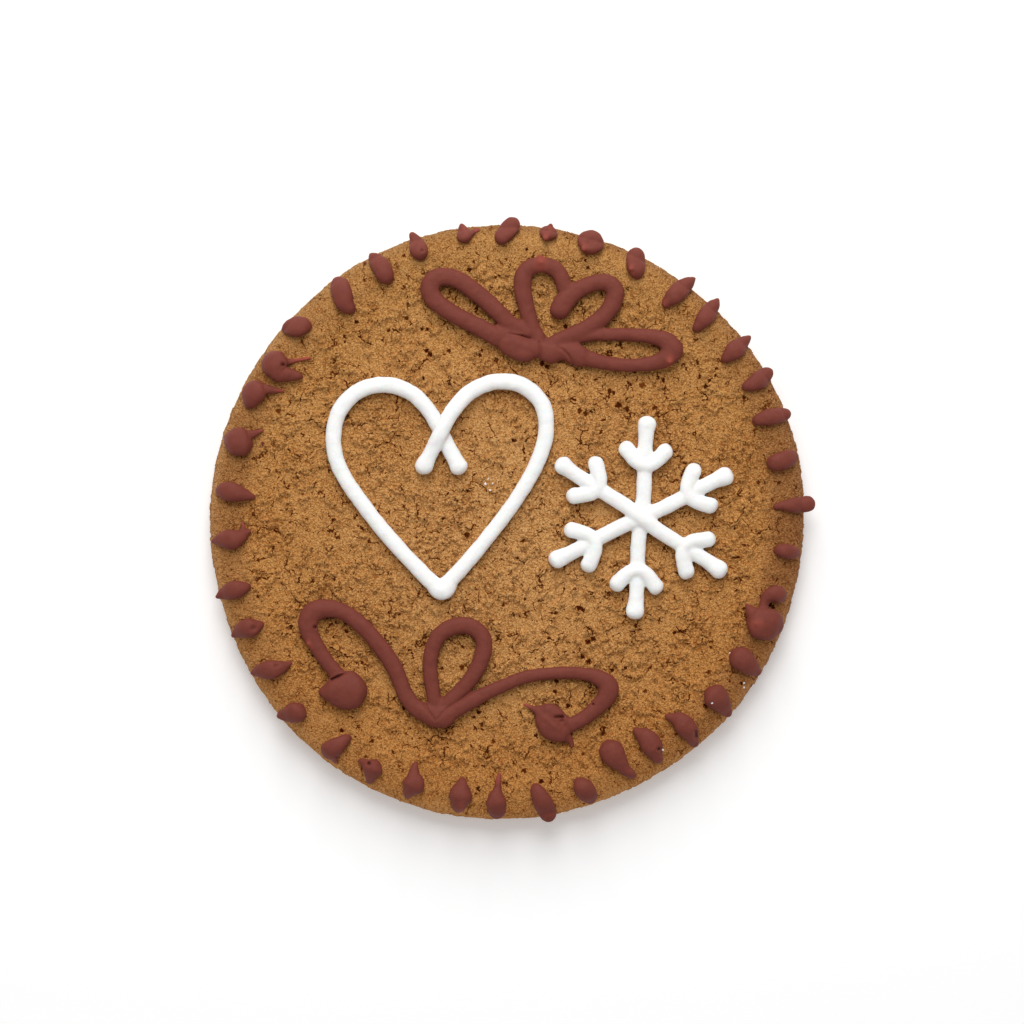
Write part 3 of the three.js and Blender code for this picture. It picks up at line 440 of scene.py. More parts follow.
def finish_piece(piece, slot, *nodes):
    """Rides the piece on the biscuit and hides the nodes it stands for; the slot is not used."""
    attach(piece, "root")
    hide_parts(*nodes)


def plain_mesh(piece):
    """Turns what the modifiers make into the object's own mesh and removes them."""
    evaluated = piece.evaluated_get(bpy.context.evaluated_depsgraph_get())
    made = bpy.data.meshes.new_from_object(evaluated)
    piece.modifiers.clear()
    piece.data = made
    made.name = piece.name
    return made


def fewer_triangles(piece, most):
    """A plain, smoothly shaded mesh with no more triangles than asked for."""
    mesh = plain_mesh(piece)
    mesh.calc_loop_triangles()
    if len(mesh.loop_triangles) > most:
        thin = piece.modifiers.new("Fewer triangles", "DECIMATE")
        thin.ratio = most / len(mesh.loop_triangles)
        mesh = plain_mesh(piece)
    mesh.polygons.foreach_set("use_smooth", np.ones(len(mesh.polygons), bool))
    return mesh


def new_object(name, points, edges=(), faces=()):
    """A mesh object from points in metres."""
    mesh = bpy.data.meshes.new(name)
    mesh.from_pydata(points, edges, faces)
    made = bpy.data.objects.new(name, mesh)
    bpy.context.collection.objects.link(made)
    return made


def use_tree(piece, tree, **values):
    """A Geometry Nodes modifier, its inputs set by their sockets' names."""
    modifier = piece.modifiers.new(tree.name, "NODES")
    modifier.node_group = tree
    for item in tree.interface.items_tree:
        if item.in_out == "INPUT" and item.name in values:
            modifier[item.identifier] = values[item.name]


def close_tree(tree, start, end, geometry):
    """Ends a tree in Realize Instances and Set Material."""
    painted = add(tree, "GeometryNodeSetMaterial",
                  {"Geometry": add(tree, "GeometryNodeRealizeInstances", [geometry]),
                   "Material": start.outputs["Material"]})
    tree.links.new(painted.outputs[0], end.inputs["Geometry"])
    return tree


def new_material(name, values):
    """A material, its tree and its shader, with the shader's uniform values set by their sockets' names."""
    material = bpy.data.materials.new(name)
    material.use_nodes = True
    shader = material.node_tree.nodes["Principled BSDF"]
    for socket, value in values.items():
        shader.inputs[socket].default_value = value
    return material, material.node_tree, shader


def points_of(mesh):
    """The mesh's points as an array."""
    flat = np.empty(len(mesh.vertices) * 3, np.float32)
    mesh.vertices.foreach_get("co", flat)
    return flat.reshape(-1, 3)


def move_points(mesh, places):
    """Puts the mesh's points at places."""
    mesh.vertices.foreach_set("co", np.asarray(places, np.float32).ravel())
    mesh.update()


# ---- Crust ----

def crumb_group(kind):
    """Cracks, pits and grains of baked crumb from a place in mm, for a shader or a geometry tree."""
    group, start, end = new_group(
        "Gingerbread crumb " + kind[:6].lower(), kind,
        [("Place", "NodeSocketVector")],
        [(label, "NodeSocketFloat") for label in ("Hollow", "Grain", "Shade", "Fine", "Patch", "Inside")])
    place = start.outputs["Place"]

    # the top is one flat slice of the pattern, so that cracks pushed down keep their colour
    split = add(group, "ShaderNodeSeparateXYZ", [place])
    level = add(group, MATH, [split.outputs["Z"], TOP_SLICE_MM], operation="MINIMUM")
    flat = add(group, "ShaderNodeCombineXYZ", [split.outputs["X"], split.outputs["Y"], level])
    radius = add(group, VECTOR_MATH,
                 [add(group, VECTOR_MATH, [place, (1, 1, 0)], operation="MULTIPLY")], operation="LENGTH")
    inside = add(group, RANGE, [radius.outputs["Value"], 40.0, 48.0, 1.0, 0.0],
                 interpolation_type="SMOOTHSTEP")

    # crooked paths
    coarse = add(group, NOISE, {"Vector": flat, "Scale": 0.8, "Detail": 1.0})
    fine = add(group, NOISE, {"Vector": flat, "Scale": 3.0, "Detail": 1.0})
    bend = add(group, VECTOR_MATH, [coarse.outputs["Color"], (1.6, 1.6, 1.6), flat], operation="MULTIPLY_ADD")
    bent = add(group, VECTOR_MATH, [fine.outputs["Color"], (0.5, 0.5, 0.5), bend], operation="MULTIPLY_ADD")
    rough = add(group, MATH, [fine.outputs[0], 0.5], operation="SUBTRACT")

    hollow = None
    # broken cracks: plate size mm, half width mm, scale of what breaks them, where they start, depth
    for plate, half_width, breaks, start_at, depth in (
            (4.6, 0.17, 0.36, 0.56, 1.0), (2.1, 0.13, 0.6, 0.585, 1.0), (1.0, 0.1, 1.3, 0.635, 0.8)):
        edges = add(group, VORONOI, {"Vector": bent, "Scale": 1 / plate}, feature="DISTANCE_TO_EDGE")
        gaps = add(group, NOISE, {"Vector": flat, "Scale": breaks, "Detail": 2.0})
        kept = add(group, RANGE, [gaps.outputs[0], start_at - 0.04, start_at + 0.06, 0.0, 1.0],
                   interpolation_type="SMOOTHSTEP")
        wide = add(group, RANGE, [kept, 0.0, 1.0, 0.01, half_width / plate])
        line = add(group, RANGE, [edges.outputs["Distance"], 0.0, wide, 1.0, 0.0],
                   interpolation_type="SMOOTHSTEP")
        crack = add(group, MATH, [line, kept], operation="MULTIPLY")
        crack = add(group, MATH, [crack, depth], operation="MULTIPLY")
        hollow = crack if hollow is None else add(group, MATH, [hollow, crack], operation="MAXIMUM")

    # pits: cell size mm, radius mm, share of the cells that have none, depth
    for cell, pit_radius, none, depth in ((0.54, 0.17, 0.26, 0.9), (1.4, 0.28, 0.68, 1.0)):
        cells = add(group, VORONOI, {"Vector": bent, "Scale": 1 / cell}, feature="F1")
        draw = add(group, "ShaderNodeSeparateXYZ", [cells.outputs["Color"]])
        size = add(group, RANGE, [draw.outputs[0], none, 1.0, 0.0, pit_radius / cell])
        inner = add(group, MATH, [size, 0.5], operation="MULTIPLY")
        near = add(group, MATH, [rough, 0.175 / cell, cells.outputs["Distance"]], operation="MULTIPLY_ADD")
        pit = add(group, RANGE, [near, inner, size, depth, 0.0], interpolation_type="SMOOTHSTEP")
        hollow = add(group, MATH, [hollow, pit], operation="MAXIMUM")

    calm = add(group, RANGE, [inside, 0.0, 1.0, 0.64, 1.0])
    hollow = add(group, MATH, [hollow, calm], operation="MULTIPLY")

    # the largest pits, where they are on this biscuit, with ragged edges
    ragged = add(group, VECTOR_MATH,
                 [fine.outputs["Color"], (PIT_RAGGEDNESS_MM, PIT_RAGGEDNESS_MM, 0), flat],
                 operation="MULTIPLY_ADD")
    ragged = add(group, VECTOR_MATH, [ragged, (1, 1, 0)], operation="MULTIPLY")
    aside = PIT_RAGGEDNESS_MM / 2
    placed = None
    for x, y, pit_radius, depth in PITS:
        away = add(group, VECTOR_MATH, [ragged, (x + aside, y + aside, 0)], operation="DISTANCE")
        pit = add(group, RANGE, [away.outputs["Value"], 0.45 * pit_radius, pit_radius, depth, 0.0],
                  interpolation_type="SMOOTHSTEP")
        placed = pit if placed is None else add(group, MATH, [placed, pit], operation="MAXIMUM")
    # and none of them runs down the wall
    on_top = add(group, RANGE, [split.outputs["Z"], PITS_FROM_MM, PITS_FULL_MM, 0.0, 1.0])
    placed = add(group, MATH, [placed, on_top], operation="MULTIPLY")
    hollow = add(group, MATH, [hollow, placed], operation="MAXIMUM")

    # round grains, each of its own shade, with gaps between them
    drift = add(group, VECTOR_MATH, [fine.outputs["Color"], (0.35, 0.35, 0.35), flat],
                operation="MULTIPLY_ADD")
    grains = add(group, VORONOI, {"Vector": drift, "Scale": 1 / 0.34}, feature="F1")
    dome = add(group, RANGE, [grains.outputs["Distance"], 0.15, 0.75, 1.0, 0.0],
               interpolation_type="SMOOTHSTEP")
    shade = add(group, "ShaderNodeSeparateXYZ", [grains.outputs["Color"]])
    specks = add(group, NOISE, {"Vector": flat, "Scale": 1 / 0.16, "Detail": 1.0})
    patches = add(group, NOISE, {"Vector": flat, "Scale": 1 / 9, "Detail": 3.0, "Roughness": 0.5})
    for output, label in ((hollow.outputs[0], "Hollow"), (dome.outputs[0], "Grain"),
                          (shade.outputs[1], "Shade"), (specks.outputs[0], "Fine"),
                          (patches.outputs[0], "Patch"), (inside.outputs[0], "Inside")):
        group.links.new(output, end.inputs[label])
    return group


def relief_tree():
    """Geometry Nodes that sink cracks and pits into a smooth crust and raise its grains."""
    tree, start, end = new_group(
        "Baked relief", "GeometryNodeTree",
        [("Geometry", "NodeSocketGeometry"), ("Depth", "NodeSocketFloat", 0.0005),
         ("Grain height", "NodeSocketFloat", 0.0001), ("Material", "NodeSocketMaterial")],
        [("Geometry", "NodeSocketGeometry")])
    position = add(tree, "GeometryNodeInputPosition")
    place = add(tree, VECTOR_MATH, {"Vector": position, "Scale": 1 / MM}, operation="SCALE")
    crumb = add(tree, "GeometryNodeGroup")
    crumb.node_tree = crumb_group("GeometryNodeTree")
    tree.links.new(place.outputs[0], crumb.inputs["Place"])
    firm = add(tree, RANGE, [crumb.outputs["Inside"], 0.0, 1.0, 0.4, 1.0])
    sunk = add(tree, MATH, [crumb.outputs["Hollow"], firm], operation="MULTIPLY")
    sunk = add(tree, MATH, [sunk, start.outputs["Depth"]], operation="MULTIPLY")
    swell = add(tree, MATH, [crumb.outputs["Grain"], 0.6], operation="SUBTRACT")
    plates = add(tree, MATH, [crumb.outputs["Patch"], 0.5], operation="SUBTRACT")
    swell = add(tree, MATH, [plates, 1.5, swell], operation="MULTIPLY_ADD")
    raised = add(tree, MATH, [swell, start.outputs["Grain height"]], operation="MULTIPLY")
    even = add(tree, RANGE, [crumb.outputs["Inside"], 0.0, 1.0, 1.0, 3.0])
    raised = add(tree, MATH, [raised, even], operation="MULTIPLY")
    rise = add(tree, MATH, [raised, sunk], operation="SUBTRACT")
    # the underside stays flat
    split = add(tree, "ShaderNodeSeparateXYZ", [position])
    free = add(tree, RANGE, [split.outputs["Z"], 0.0002, 0.002, 0.0, 1.0])
    rise = add(tree, MATH, [rise, free], operation="MULTIPLY")
    offset = add(tree, VECTOR_MATH, {"Vector": add(tree, "GeometryNodeInputNormal"), "Scale": rise},
                 operation="SCALE")
    shaped = add(tree, "GeometryNodeSetPosition", {"Geometry": start.outputs["Geometry"], "Offset": offset})
    return close_tree(tree, start, end, shaped)


def smooth_crust():
    """The smooth baked shape: a square grid drawn out to a disc, then rings down the wall to the floor."""
    crust = crust_settings()
    flat_mm = (crust.radius - crust.shoulder_run) / MM
    rings = round((crust.radius - crust.shoulder_run) / crust.grid)
    i, j = np.meshgrid(np.arange(-rings, rings + 1), np.arange(-rings, rings + 1), indexing="ij")
    ring = np.maximum(np.abs(i), np.abs(j))
    along = np.select(
        [i == ring, j == ring, i == -ring], [j + ring, 3 * ring - i, 5 * ring - j], 7 * ring + i)
    angle = 2 * math.pi * along / np.maximum(8 * ring, 1) - math.pi / 4
    radius = ring * flat_mm / rings
    columns = [radius.ravel() * np.cos(angle).ravel(), radius.ravel() * np.sin(angle).ravel(),
               np.full(radius.size, crust.thickness / MM)]
    number = np.arange(radius.size).reshape(radius.shape)
    quads = np.stack([number[:-1, :-1], number[1:, :-1], number[1:, 1:], number[:-1, 1:]], -1).reshape(-1, 4)

    # the wall, from the flat top's last ring
    sides = 8 * rings
    rim = np.empty(sides, int)
    on_rim = ring == rings
    rim[along[on_rim] % sides] = number[on_rim]
    turn = 2 * math.pi * np.arange(sides) / sides - math.pi / 4
    waist = (crust.thickness - crust.shoulder_fall) / MM
    wide = crust.radius / MM
    run, fall, foot = crust.shoulder_run / MM, crust.shoulder_fall / MM, crust.foot_run / MM
    profile = []
    for step in range(1, 25):
        part = math.sin(math.pi / 2 * step / 24)
        # on the superellipse both shares' powers add up to 1
        out = part ** (2 / SHOULDER_POWER)
        down = 1 - (1 - min(out, 1) ** SHOULDER_POWER) ** (1 / SHOULDER_POWER)
        profile.append((wide - run * (1 - out), crust.thickness / MM - fall * down))
    for step in range(1, 9):
        part = math.pi / 2 * (1 - step / 8)
        profile.append((wide - foot * (1 - math.sin(part)), waist * (1 - math.cos(part))))
    profile.append((wide - foot - 1, 0.0))
    last = rim
    walls = []
    count = radius.size
    for out, height in profile:
        this = count + np.arange(sides)
        columns[0] = np.append(columns[0], out * np.cos(turn))
        columns[1] = np.append(columns[1], out * np.sin(turn))
        columns[2] = np.append(columns[2], np.full(sides, height))
        walls.append(np.stack([last, this, np.roll(this, -1), np.roll(last, -1)], -1))
        last = this
        count += sides
    quads = np.concatenate([quads] + walls)
    x, y, z = columns
    grow = edge_radius_mm(np.arctan2(y, x)) / wide
    x, y = x * grow, y * grow
    z = z + np.clip((z - waist) / fall, 0, 1) * unevenness_mm(x, y)
    faces = quads.tolist() + [last[::-1].tolist()]
    return new_object("gingerbread_crust", np.stack([x, y, z], -1) * MM, faces=faces)


def crumb_material():
    """Baked gingerbread: dry open crumb, browned sugar and flour, cracked as it rose. The eye gets a matt
    ochre brown that is speckled at half a millimetre, with near-black brown pits and crooked cracks. Their
    dark is partly painted shade, part of the speckle is painted light and shade of the grains, and the rim
    carries painted light and shade."""
    crust = crust_settings()
    material, tree, shader = new_material("Baked gingerbread crumb", {
        "Roughness": 0.92, "IOR": 1.4, "Specular IOR Level": 0.1})
    place = add(tree, VECTOR_MATH, {"Vector": add(tree, "ShaderNodeTexCoord").outputs["Object"],
                                    "Scale": 1 / MM}, operation="SCALE")
    crumb = add(tree, "ShaderNodeGroup")
    crumb.node_tree = crumb_group("ShaderNodeTree")
    tree.links.new(place.outputs[0], crumb.inputs["Place"])

    # grains from browned to light, with the fine specks on top: partly the crumb's own speckle, partly
    # painted light on the grains and painted shade between them
    tone = add(tree, MATH, [crumb.outputs["Fine"], 0.9, -0.43], operation="MULTIPLY_ADD")
    tone = add(tree, MATH, [crumb.outputs["Grain"], 0.3, tone], operation="MULTIPLY_ADD")
    tone = add(tree, MATH, [crumb.outputs["Shade"], 0.22, tone], operation="MULTIPLY_ADD")
    tone = add(tree, MATH, [crumb.outputs["Patch"], 0.3, tone], operation="MULTIPLY_ADD")
    browned = add(tree, RANGE, [tone, 0.12, 0.45, 0.0, 1.0])
    lit = add(tree, RANGE, [tone, 0.45, 0.78, 0.0, 1.0])
    even = add(tree, RANGE, [crumb.outputs["Inside"], 0.0, 1.0, 0.5, 1.0])
    lit = add(tree, MATH, [lit, even], operation="MULTIPLY")
    colour = add(tree, MIX, {0: browned, 6: tuple(crust.browned_and_shaded_colour), 7: tuple(crust.colour)},
                 data_type="RGBA")
    colour = add(tree, MIX, {0: lit, 6: colour, 7: tuple(crust.light_colour)}, data_type="RGBA")
    # the sides of a hollow turn a deeper, redder brown before its floor goes dark: partly the crumb's own
    # colour, partly painted shade in the pits and cracks
    sides = add(tree, RANGE, [crumb.outputs["Hollow"], 0.07, 0.52, 0.0, 1.0])
    floor = add(tree, RANGE, [crumb.outputs["Hollow"], 0.5, 1.0, 0.0, 1.0])
    colour = add(tree, MIX, {0: sides, 6: colour, 7: tuple(crust.side_brown_and_shade_colour)}, data_type="RGBA")
    colour = add(tree, MIX, {0: floor, 6: colour, 7: tuple(crust.hollow_painted_shade_colour)}, data_type="RGBA")

    # paler in the middle; browned in a ring near the rim, most on the right and left; a wide band is paler
    # and cooler towards the top and the reverse towards the bottom. The edge itself is darker at the top and
    # paler at the bottom, painted shade and light that even out the lamp on the shoulder; its outermost band
    # is paler at the sides, painted light bounced from the floor, and darker on the upper right, painted
    # shade
    flat = add(tree, VECTOR_MATH, [place, (1, 1, 0)], operation="MULTIPLY")
    radius = add(tree, VECTOR_MATH, [flat], operation="LENGTH").outputs["Value"]
    unit = add(tree, VECTOR_MATH, [flat], operation="NORMALIZE")
    across = add(tree, VECTOR_MATH, [unit, (0.985, -0.174, 0)], operation="DOT_PRODUCT").outputs["Value"]
    upper_right = add(tree, VECTOR_MATH, [unit, (0.707, 0.707, 0)], operation="DOT_PRODUCT").outputs["Value"]
    upper_right = add(tree, MATH, [upper_right, 0.0], operation="MAXIMUM")
    upward = add(tree, VECTOR_MATH, [unit, (0, 1, 0)], operation="DOT_PRODUCT").outputs["Value"]
    squared = add(tree, MATH, [across, across], operation="MULTIPLY")
    more_right = add(tree, MATH, [across, 0.19, 0.81], operation="MULTIPLY_ADD")
    cubed = add(tree, MATH, [squared, 1.5], operation="POWER")
    side = add(tree, MATH, [cubed, more_right], operation="MULTIPLY")
    wide = add(tree, RANGE, [radius, 28.0, 41.0, 0.0, 1.0], interpolation_type="SMOOTHSTEP")
    ring = add(tree, RANGE, [radius, 41.5, 46.0, 0.0, 1.0], interpolation_type="SMOOTHSTEP")
    edge = add(tree, RANGE, [radius, 46.8, 48.8, 0.0, 1.0], interpolation_type="SMOOTHSTEP")
    outermost = add(tree, RANGE, [radius, 47.7, 49.3, 0.0, 1.0], interpolation_type="SMOOTHSTEP")
    bake_and_painted_light = None
    for share, towards in (
            (add(tree, RANGE, [radius, 0.0, 42.0, 1.0, 0.0]), (1.15, 1.27, 1.53)),
            (add(tree, MATH, [wide, upward], operation="MULTIPLY"), (1.0, 1.05, 1.1)),
            (ring, (0.97, 0.98, 1.02)),
            (add(tree, MATH, [ring, side], operation="MULTIPLY"), (0.65, 0.59, 0.64)),
            (edge, (1.0, 0.98, 1.0)),
            # painted shade at the top of the edge and painted light at its bottom
            (add(tree, MATH, [edge, upward], operation="MULTIPLY"), (0.78, 0.79, 0.79)),
            (outermost, (1.0, 1.05, 1.12)),
            # painted light from the floor on the sides of the outermost band
            (add(tree, MATH, [outermost, squared], operation="MULTIPLY"), (1.28, 1.38, 1.48)),
            # painted shade on the upper right of the outermost band
            (add(tree, MATH, [outermost, upper_right], operation="MULTIPLY"), (0.86, 0.79, 0.76))):
        change = tuple(value - 1 for value in towards)
        part = add(tree, VECTOR_MATH, {"Vector": change, "Scale": share}, operation="SCALE")
        part = add(tree, VECTOR_MATH, [part, (1, 1, 1)], operation="ADD")
        bake_and_painted_light = part if bake_and_painted_light is None else add(tree, VECTOR_MATH, [bake_and_painted_light, part], operation="MULTIPLY")
    colour = add(tree, VECTOR_MATH, [colour.outputs[2], bake_and_painted_light], operation="MULTIPLY")
    tree.links.new(colour.outputs[0], shader.inputs["Base Color"])

    height = add(tree, MATH, [crumb.outputs["Fine"], 0.6, crumb.outputs["Grain"]], operation="MULTIPLY_ADD")
    bump = add(tree, "ShaderNodeBump", {"Strength": 0.9, "Distance": 0.00013, "Height": height})
    tree.links.new(bump.outputs[0], shader.inputs["Normal"])
    return material


# ---- Icing ----

def smooth_line(rows, per_span=14):
    """Points (x, y, width, lift) along a smooth line through rows, many to each span."""
    rows = np.array([tuple(row) + (0,) * (4 - len(row)) for row in rows], float)
    padded = np.vstack([2 * rows[0] - rows[1], rows, 2 * rows[-1] - rows[-2]])
    p0, p1, p2, p3 = padded[:-3], padded[1:-2], padded[2:-1], padded[3:]

    def gap(a, b):
        return np.maximum(np.hypot(*(b - a)[:, :2].T), 1e-4)[:, None] ** 0.5
    d0, d1, d2 = gap(p0, p1), gap(p1, p2), gap(p2, p3)
    leave = ((p1 - p0) / d0 - (p2 - p0) / (d0 + d1) + (p2 - p1) / d1) * d1
    arrive = ((p2 - p1) / d1 - (p3 - p1) / (d1 + d2) + (p3 - p2) / d2) * d1
    leave[:, 2:] = WIDTH_TENSION * (p2 - p0)[:, 2:]
    arrive[:, 2:] = WIDTH_TENSION * (p3 - p1)[:, 2:]
    t = (np.arange(per_span) / per_span)[None, :, None]
    p1, p2, leave, arrive = (a[:, None, :] for a in (p1, p2, leave, arrive))
    line = ((2 * t ** 3 - 3 * t ** 2 + 1) * p1 + (t ** 3 - 2 * t ** 2 + t) * leave
            + (3 * t ** 2 - 2 * t ** 3) * p2 + (t ** 3 - t ** 2) * arrive)
    return np.vstack([line.reshape(-1, 4), rows[-1:]])


def piping(rows, spacing_mm=0.3):
    """Even stations (x, y, width, lift) along a piped line, closer at its rounded ends."""
    line = smooth_line(rows)
    length = np.append(0, np.cumsum(np.hypot(*np.diff(line[:, :2], axis=0).T)))
    total = length[-1]
    first, last = min(rows[0][2], total) / 2, min(rows[-1][2], total) / 2
    turn = 1 - np.cos(np.linspace(0.15, math.pi / 2, 7))
    middle = np.linspace(first, total - last, max(2, int((total - first - last) / spacing_mm)) + 1)[1:-1]
    places = np.concatenate([first * turn, middle, total - last * turn[::-1]])
    x, y, width, lift = (np.interp(places, length, line[:, i]) for i in range(4))
    end = np.minimum(np.minimum(places / first, (total - places) / last), 1)
    width = np.maximum(width * np.sqrt(1 - (1 - end) ** 2), 0.12)
    return np.stack([x, y, width, lift], -1)


def on_rim(rows):
    """Rows with their clock and radius turned into x and y."""
    return [(radius * math.sin(math.radians(clock)), radius * math.cos(math.radians(clock)), *rest)
            for clock, radius, *rest in rows]


def peak_line(x, y, width, lift):
    """A short upright peak as a piped line."""
    return (x, y - width / 2, width, lift), (x, y + width / 2, width * 0.9, lift)


def snowflake_lines():
    """The snowflake's lines, worked out from its sizes."""
    def on_arm(bearing, along, aside):
        return (SNOW["x"] + along * math.sin(bearing) + aside * math.cos(bearing),
                SNOW["y"] + along * math.cos(bearing) - aside * math.sin(bearing))
    reach, width, tip, bend, run = (SNOW[k] for k in ("reach", "width", "tip", "bend", "run"))
    neck = reach - SNOW["tip_length"]
    lines = []
    for i in range(3):
        bearing = math.radians(SNOW["turn"] + 60 * i)
        lift = SNOW["crossing_lift"] * i / 2
        lines.append((
            (*on_arm(bearing, -reach, 0), tip), (*on_arm(bearing, -neck, bend), width),
            (*on_arm(bearing, -run, -bend), width, lift / 2), (*on_arm(bearing, 0, 0), width, lift),
            (*on_arm(bearing, run, bend), width, lift / 2), (*on_arm(bearing, neck, -bend), width),
            (*on_arm(bearing, reach, 0), tip)))
    at, end = CHEVRON["at"], CHEVRON["at"] + CHEVRON["long"]
    wide, nose, lift = CHEVRON["wide"], CHEVRON["nose"], CHEVRON["lift"]
    for i in range(6):
        bearing = math.radians(SNOW["turn"] + 60 * i)
        lines.append((
            (*on_arm(bearing, end, -wide), CHEVRON["tip"]),
            (*on_arm(bearing, at, -nose), CHEVRON["width"], lift),
            (*on_arm(bearing, at, nose), CHEVRON["width"], lift),
            (*on_arm(bearing, end, wide), CHEVRON["tip"])))
    return lines


def piped_tree():
    """Geometry Nodes that pipe a rounded bead along lines, flat on z = 0, from each point's width, height
    and lift."""
    tree, start, end = new_group(
        "Piped bead", "GeometryNodeTree",
        [("Geometry", "NodeSocketGeometry"), ("Sides", "NodeSocketInt", 24),
         ("Middle", "NodeSocketFloat", 0.38), ("Root", "NodeSocketFloat", 0.0),
         ("Material", "NodeSocketMaterial")],
        [("Geometry", "NodeSocketGeometry")])
    width, tall, lift = (add(tree, NAMED, [name], data_type="FLOAT") for name in ("width", "tall", "lift"))
    half = add(tree, MATH, [width, 0.5], operation="MULTIPLY")
    curve = add(tree, "GeometryNodeMeshToCurve", [start.outputs["Geometry"]])
    upright = add(tree, "GeometryNodeSetCurveNormal", [curve], mode="Z_UP")
    ring = add(tree, "GeometryNodeCurvePrimitiveCircle",
               {"Resolution": start.outputs["Sides"], "Radius": 1.0})
    bead = add(tree, "GeometryNodeCurveToMesh",
               {"Curve": upright, "Profile Curve": ring, "Scale": half, "Fill Caps": True})
    # the round section becomes an oval that sits a little way into the crust
    split = add(tree, "ShaderNodeSeparateXYZ", [add(tree, "GeometryNodeInputPosition")])
    share = add(tree, MATH, [split.outputs["Z"], half], operation="DIVIDE")
    top = add(tree, MATH, [1.0, start.outputs["Middle"]], operation="SUBTRACT")
    arch = add(tree, MATH, [share, top, start.outputs["Middle"]], operation="MULTIPLY_ADD")
    height = add(tree, MATH, [arch, tall, lift], operation="MULTIPLY_ADD")
    below = add(tree, MATH, [share, 0.0], operation="MINIMUM")
    height = add(tree, MATH, [below, start.outputs["Root"], height], operation="MULTIPLY_ADD")
    place = add(tree, "ShaderNodeCombineXYZ", [split.outputs["X"], split.outputs["Y"], height])
    laid = add(tree, "GeometryNodeSetPosition", {"Geometry": bead, "Position": place})
    return close_tree(tree, start, end, laid)


def skin_tree():
    """Geometry Nodes that let fused icing flow together and give it an uneven dried skin."""
    tree, start, end = new_group(
        "Dried skin", "GeometryNodeTree",
        [("Geometry", "NodeSocketGeometry"), ("Flow", "NodeSocketInt", 4),
         ("Wobble", "NodeSocketFloat", 0.0001), ("Material", "NodeSocketMaterial")],
        [("Geometry", "NodeSocketGeometry")])
    position = add(tree, "GeometryNodeInputPosition")
    flowed = add(tree, "GeometryNodeBlurAttribute",
                 {"Value": position, "Iterations": start.outputs["Flow"], "Weight": 0.8},
                 data_type="FLOAT_VECTOR")
    soft = add(tree, "GeometryNodeSetPosition", {"Geometry": start.outputs["Geometry"], "Position": flowed})
    place = add(tree, VECTOR_MATH, {"Vector": position, "Scale": 1 / MM}, operation="SCALE")
    waves = add(tree, NOISE, {"Vector": place, "Scale": 0.55, "Detail": 2.0, "Roughness": 0.45})
    swell = add(tree, MATH, [waves, 0.5], operation="SUBTRACT")
    rise = add(tree, MATH, [swell, start.outputs["Wobble"]], operation="MULTIPLY")
    rise = add(tree, MATH, [rise, 3.0], operation="MULTIPLY")
    offset = add(tree, VECTOR_MATH, {"Vector": add(tree, "GeometryNodeInputNormal"), "Scale": rise},
                 operation="SCALE")
    uneven = add(tree, "GeometryNodeSetPosition", {"Geometry": soft, "Offset": offset})
    return close_tree(tree, start, end, uneven)


def pipe(name, lines, material, root=0.0, flow=4, creases=(), peaks=(), paler=0.3):
    """A piece of icing piped along lines, fused, creased and laid on the crust."""
    peaks = [peak if len(peak) > 1 else peak_line(*peak[0]) for peak in peaks]
    lines = list(lines) + peaks
    stations = [piping(line) for line in lines]
    rows = np.vstack(stations)
    firsts = np.cumsum([0] + [len(part) for part in stations[:-1]])
    edges = [(first + i, first + i + 1)
             for first, part in zip(firsts, stations) for i in range(len(part) - 1)]
    piece = new_object(name, np.column_stack([rows[:, 0], rows[:, 1], np.zeros(len(rows))]) * MM, edges)
    tall = ICING_MAX_HEIGHT_MM * np.tanh(ICING_STEEPNESS * rows[:, 2] / ICING_MAX_HEIGHT_MM)
    for label, values in (("width", rows[:, 2]), ("tall", tall), ("lift", rows[:, 3])):
        layer = piece.data.attributes.new(label, "FLOAT", "POINT")
        layer.data.foreach_set("value", np.asarray(values * MM, np.float32))

    use_tree(piece, piped_tree(), Root=root, Material=material)
    remesh = piece.modifiers.new("Fuse", "REMESH")
    remesh.mode = "VOXEL"
    remesh.voxel_size = icing_settings().voxel
    use_tree(piece, skin_tree(), Flow=flow, Wobble=icing_settings().wobble, Material=material)
    mesh = fewer_triangles(piece, icing_settings().triangles)

    places = points_of(mesh)
    pressed = sum((crease_mm(places / MM, line) for line in creases), np.zeros(len(places)))
    mark_thin(mesh, places, lines, peaks, paler, pressed)
    places[:, 2] -= pressed * MM
    places[:, 2] += crust_height_mm(places[:, 0] / MM, places[:, 1] / MM) * MM
    move_points(mesh, places)
    return piece


def crease_mm(places, line):
    """How far a crease presses each point down, for places in mm over the crust."""
    line = smooth_line(line, 8) if len(line) > 1 else np.array(line)
    near = np.full(len(places), np.inf)
    press = np.zeros(len(places))
    for x, y, half_width, depth in line:
        away = np.hypot(places[:, 0] - x, places[:, 1] - y) / half_width
        press = np.where(away < near, depth, press)
        near = np.minimum(near, away)
    # the foot of the icing stays where it is
    upper = np.clip((places[:, 2] - 0.2) / 1.2, 0, 1)
    return press * np.exp(-near ** 2) * upper


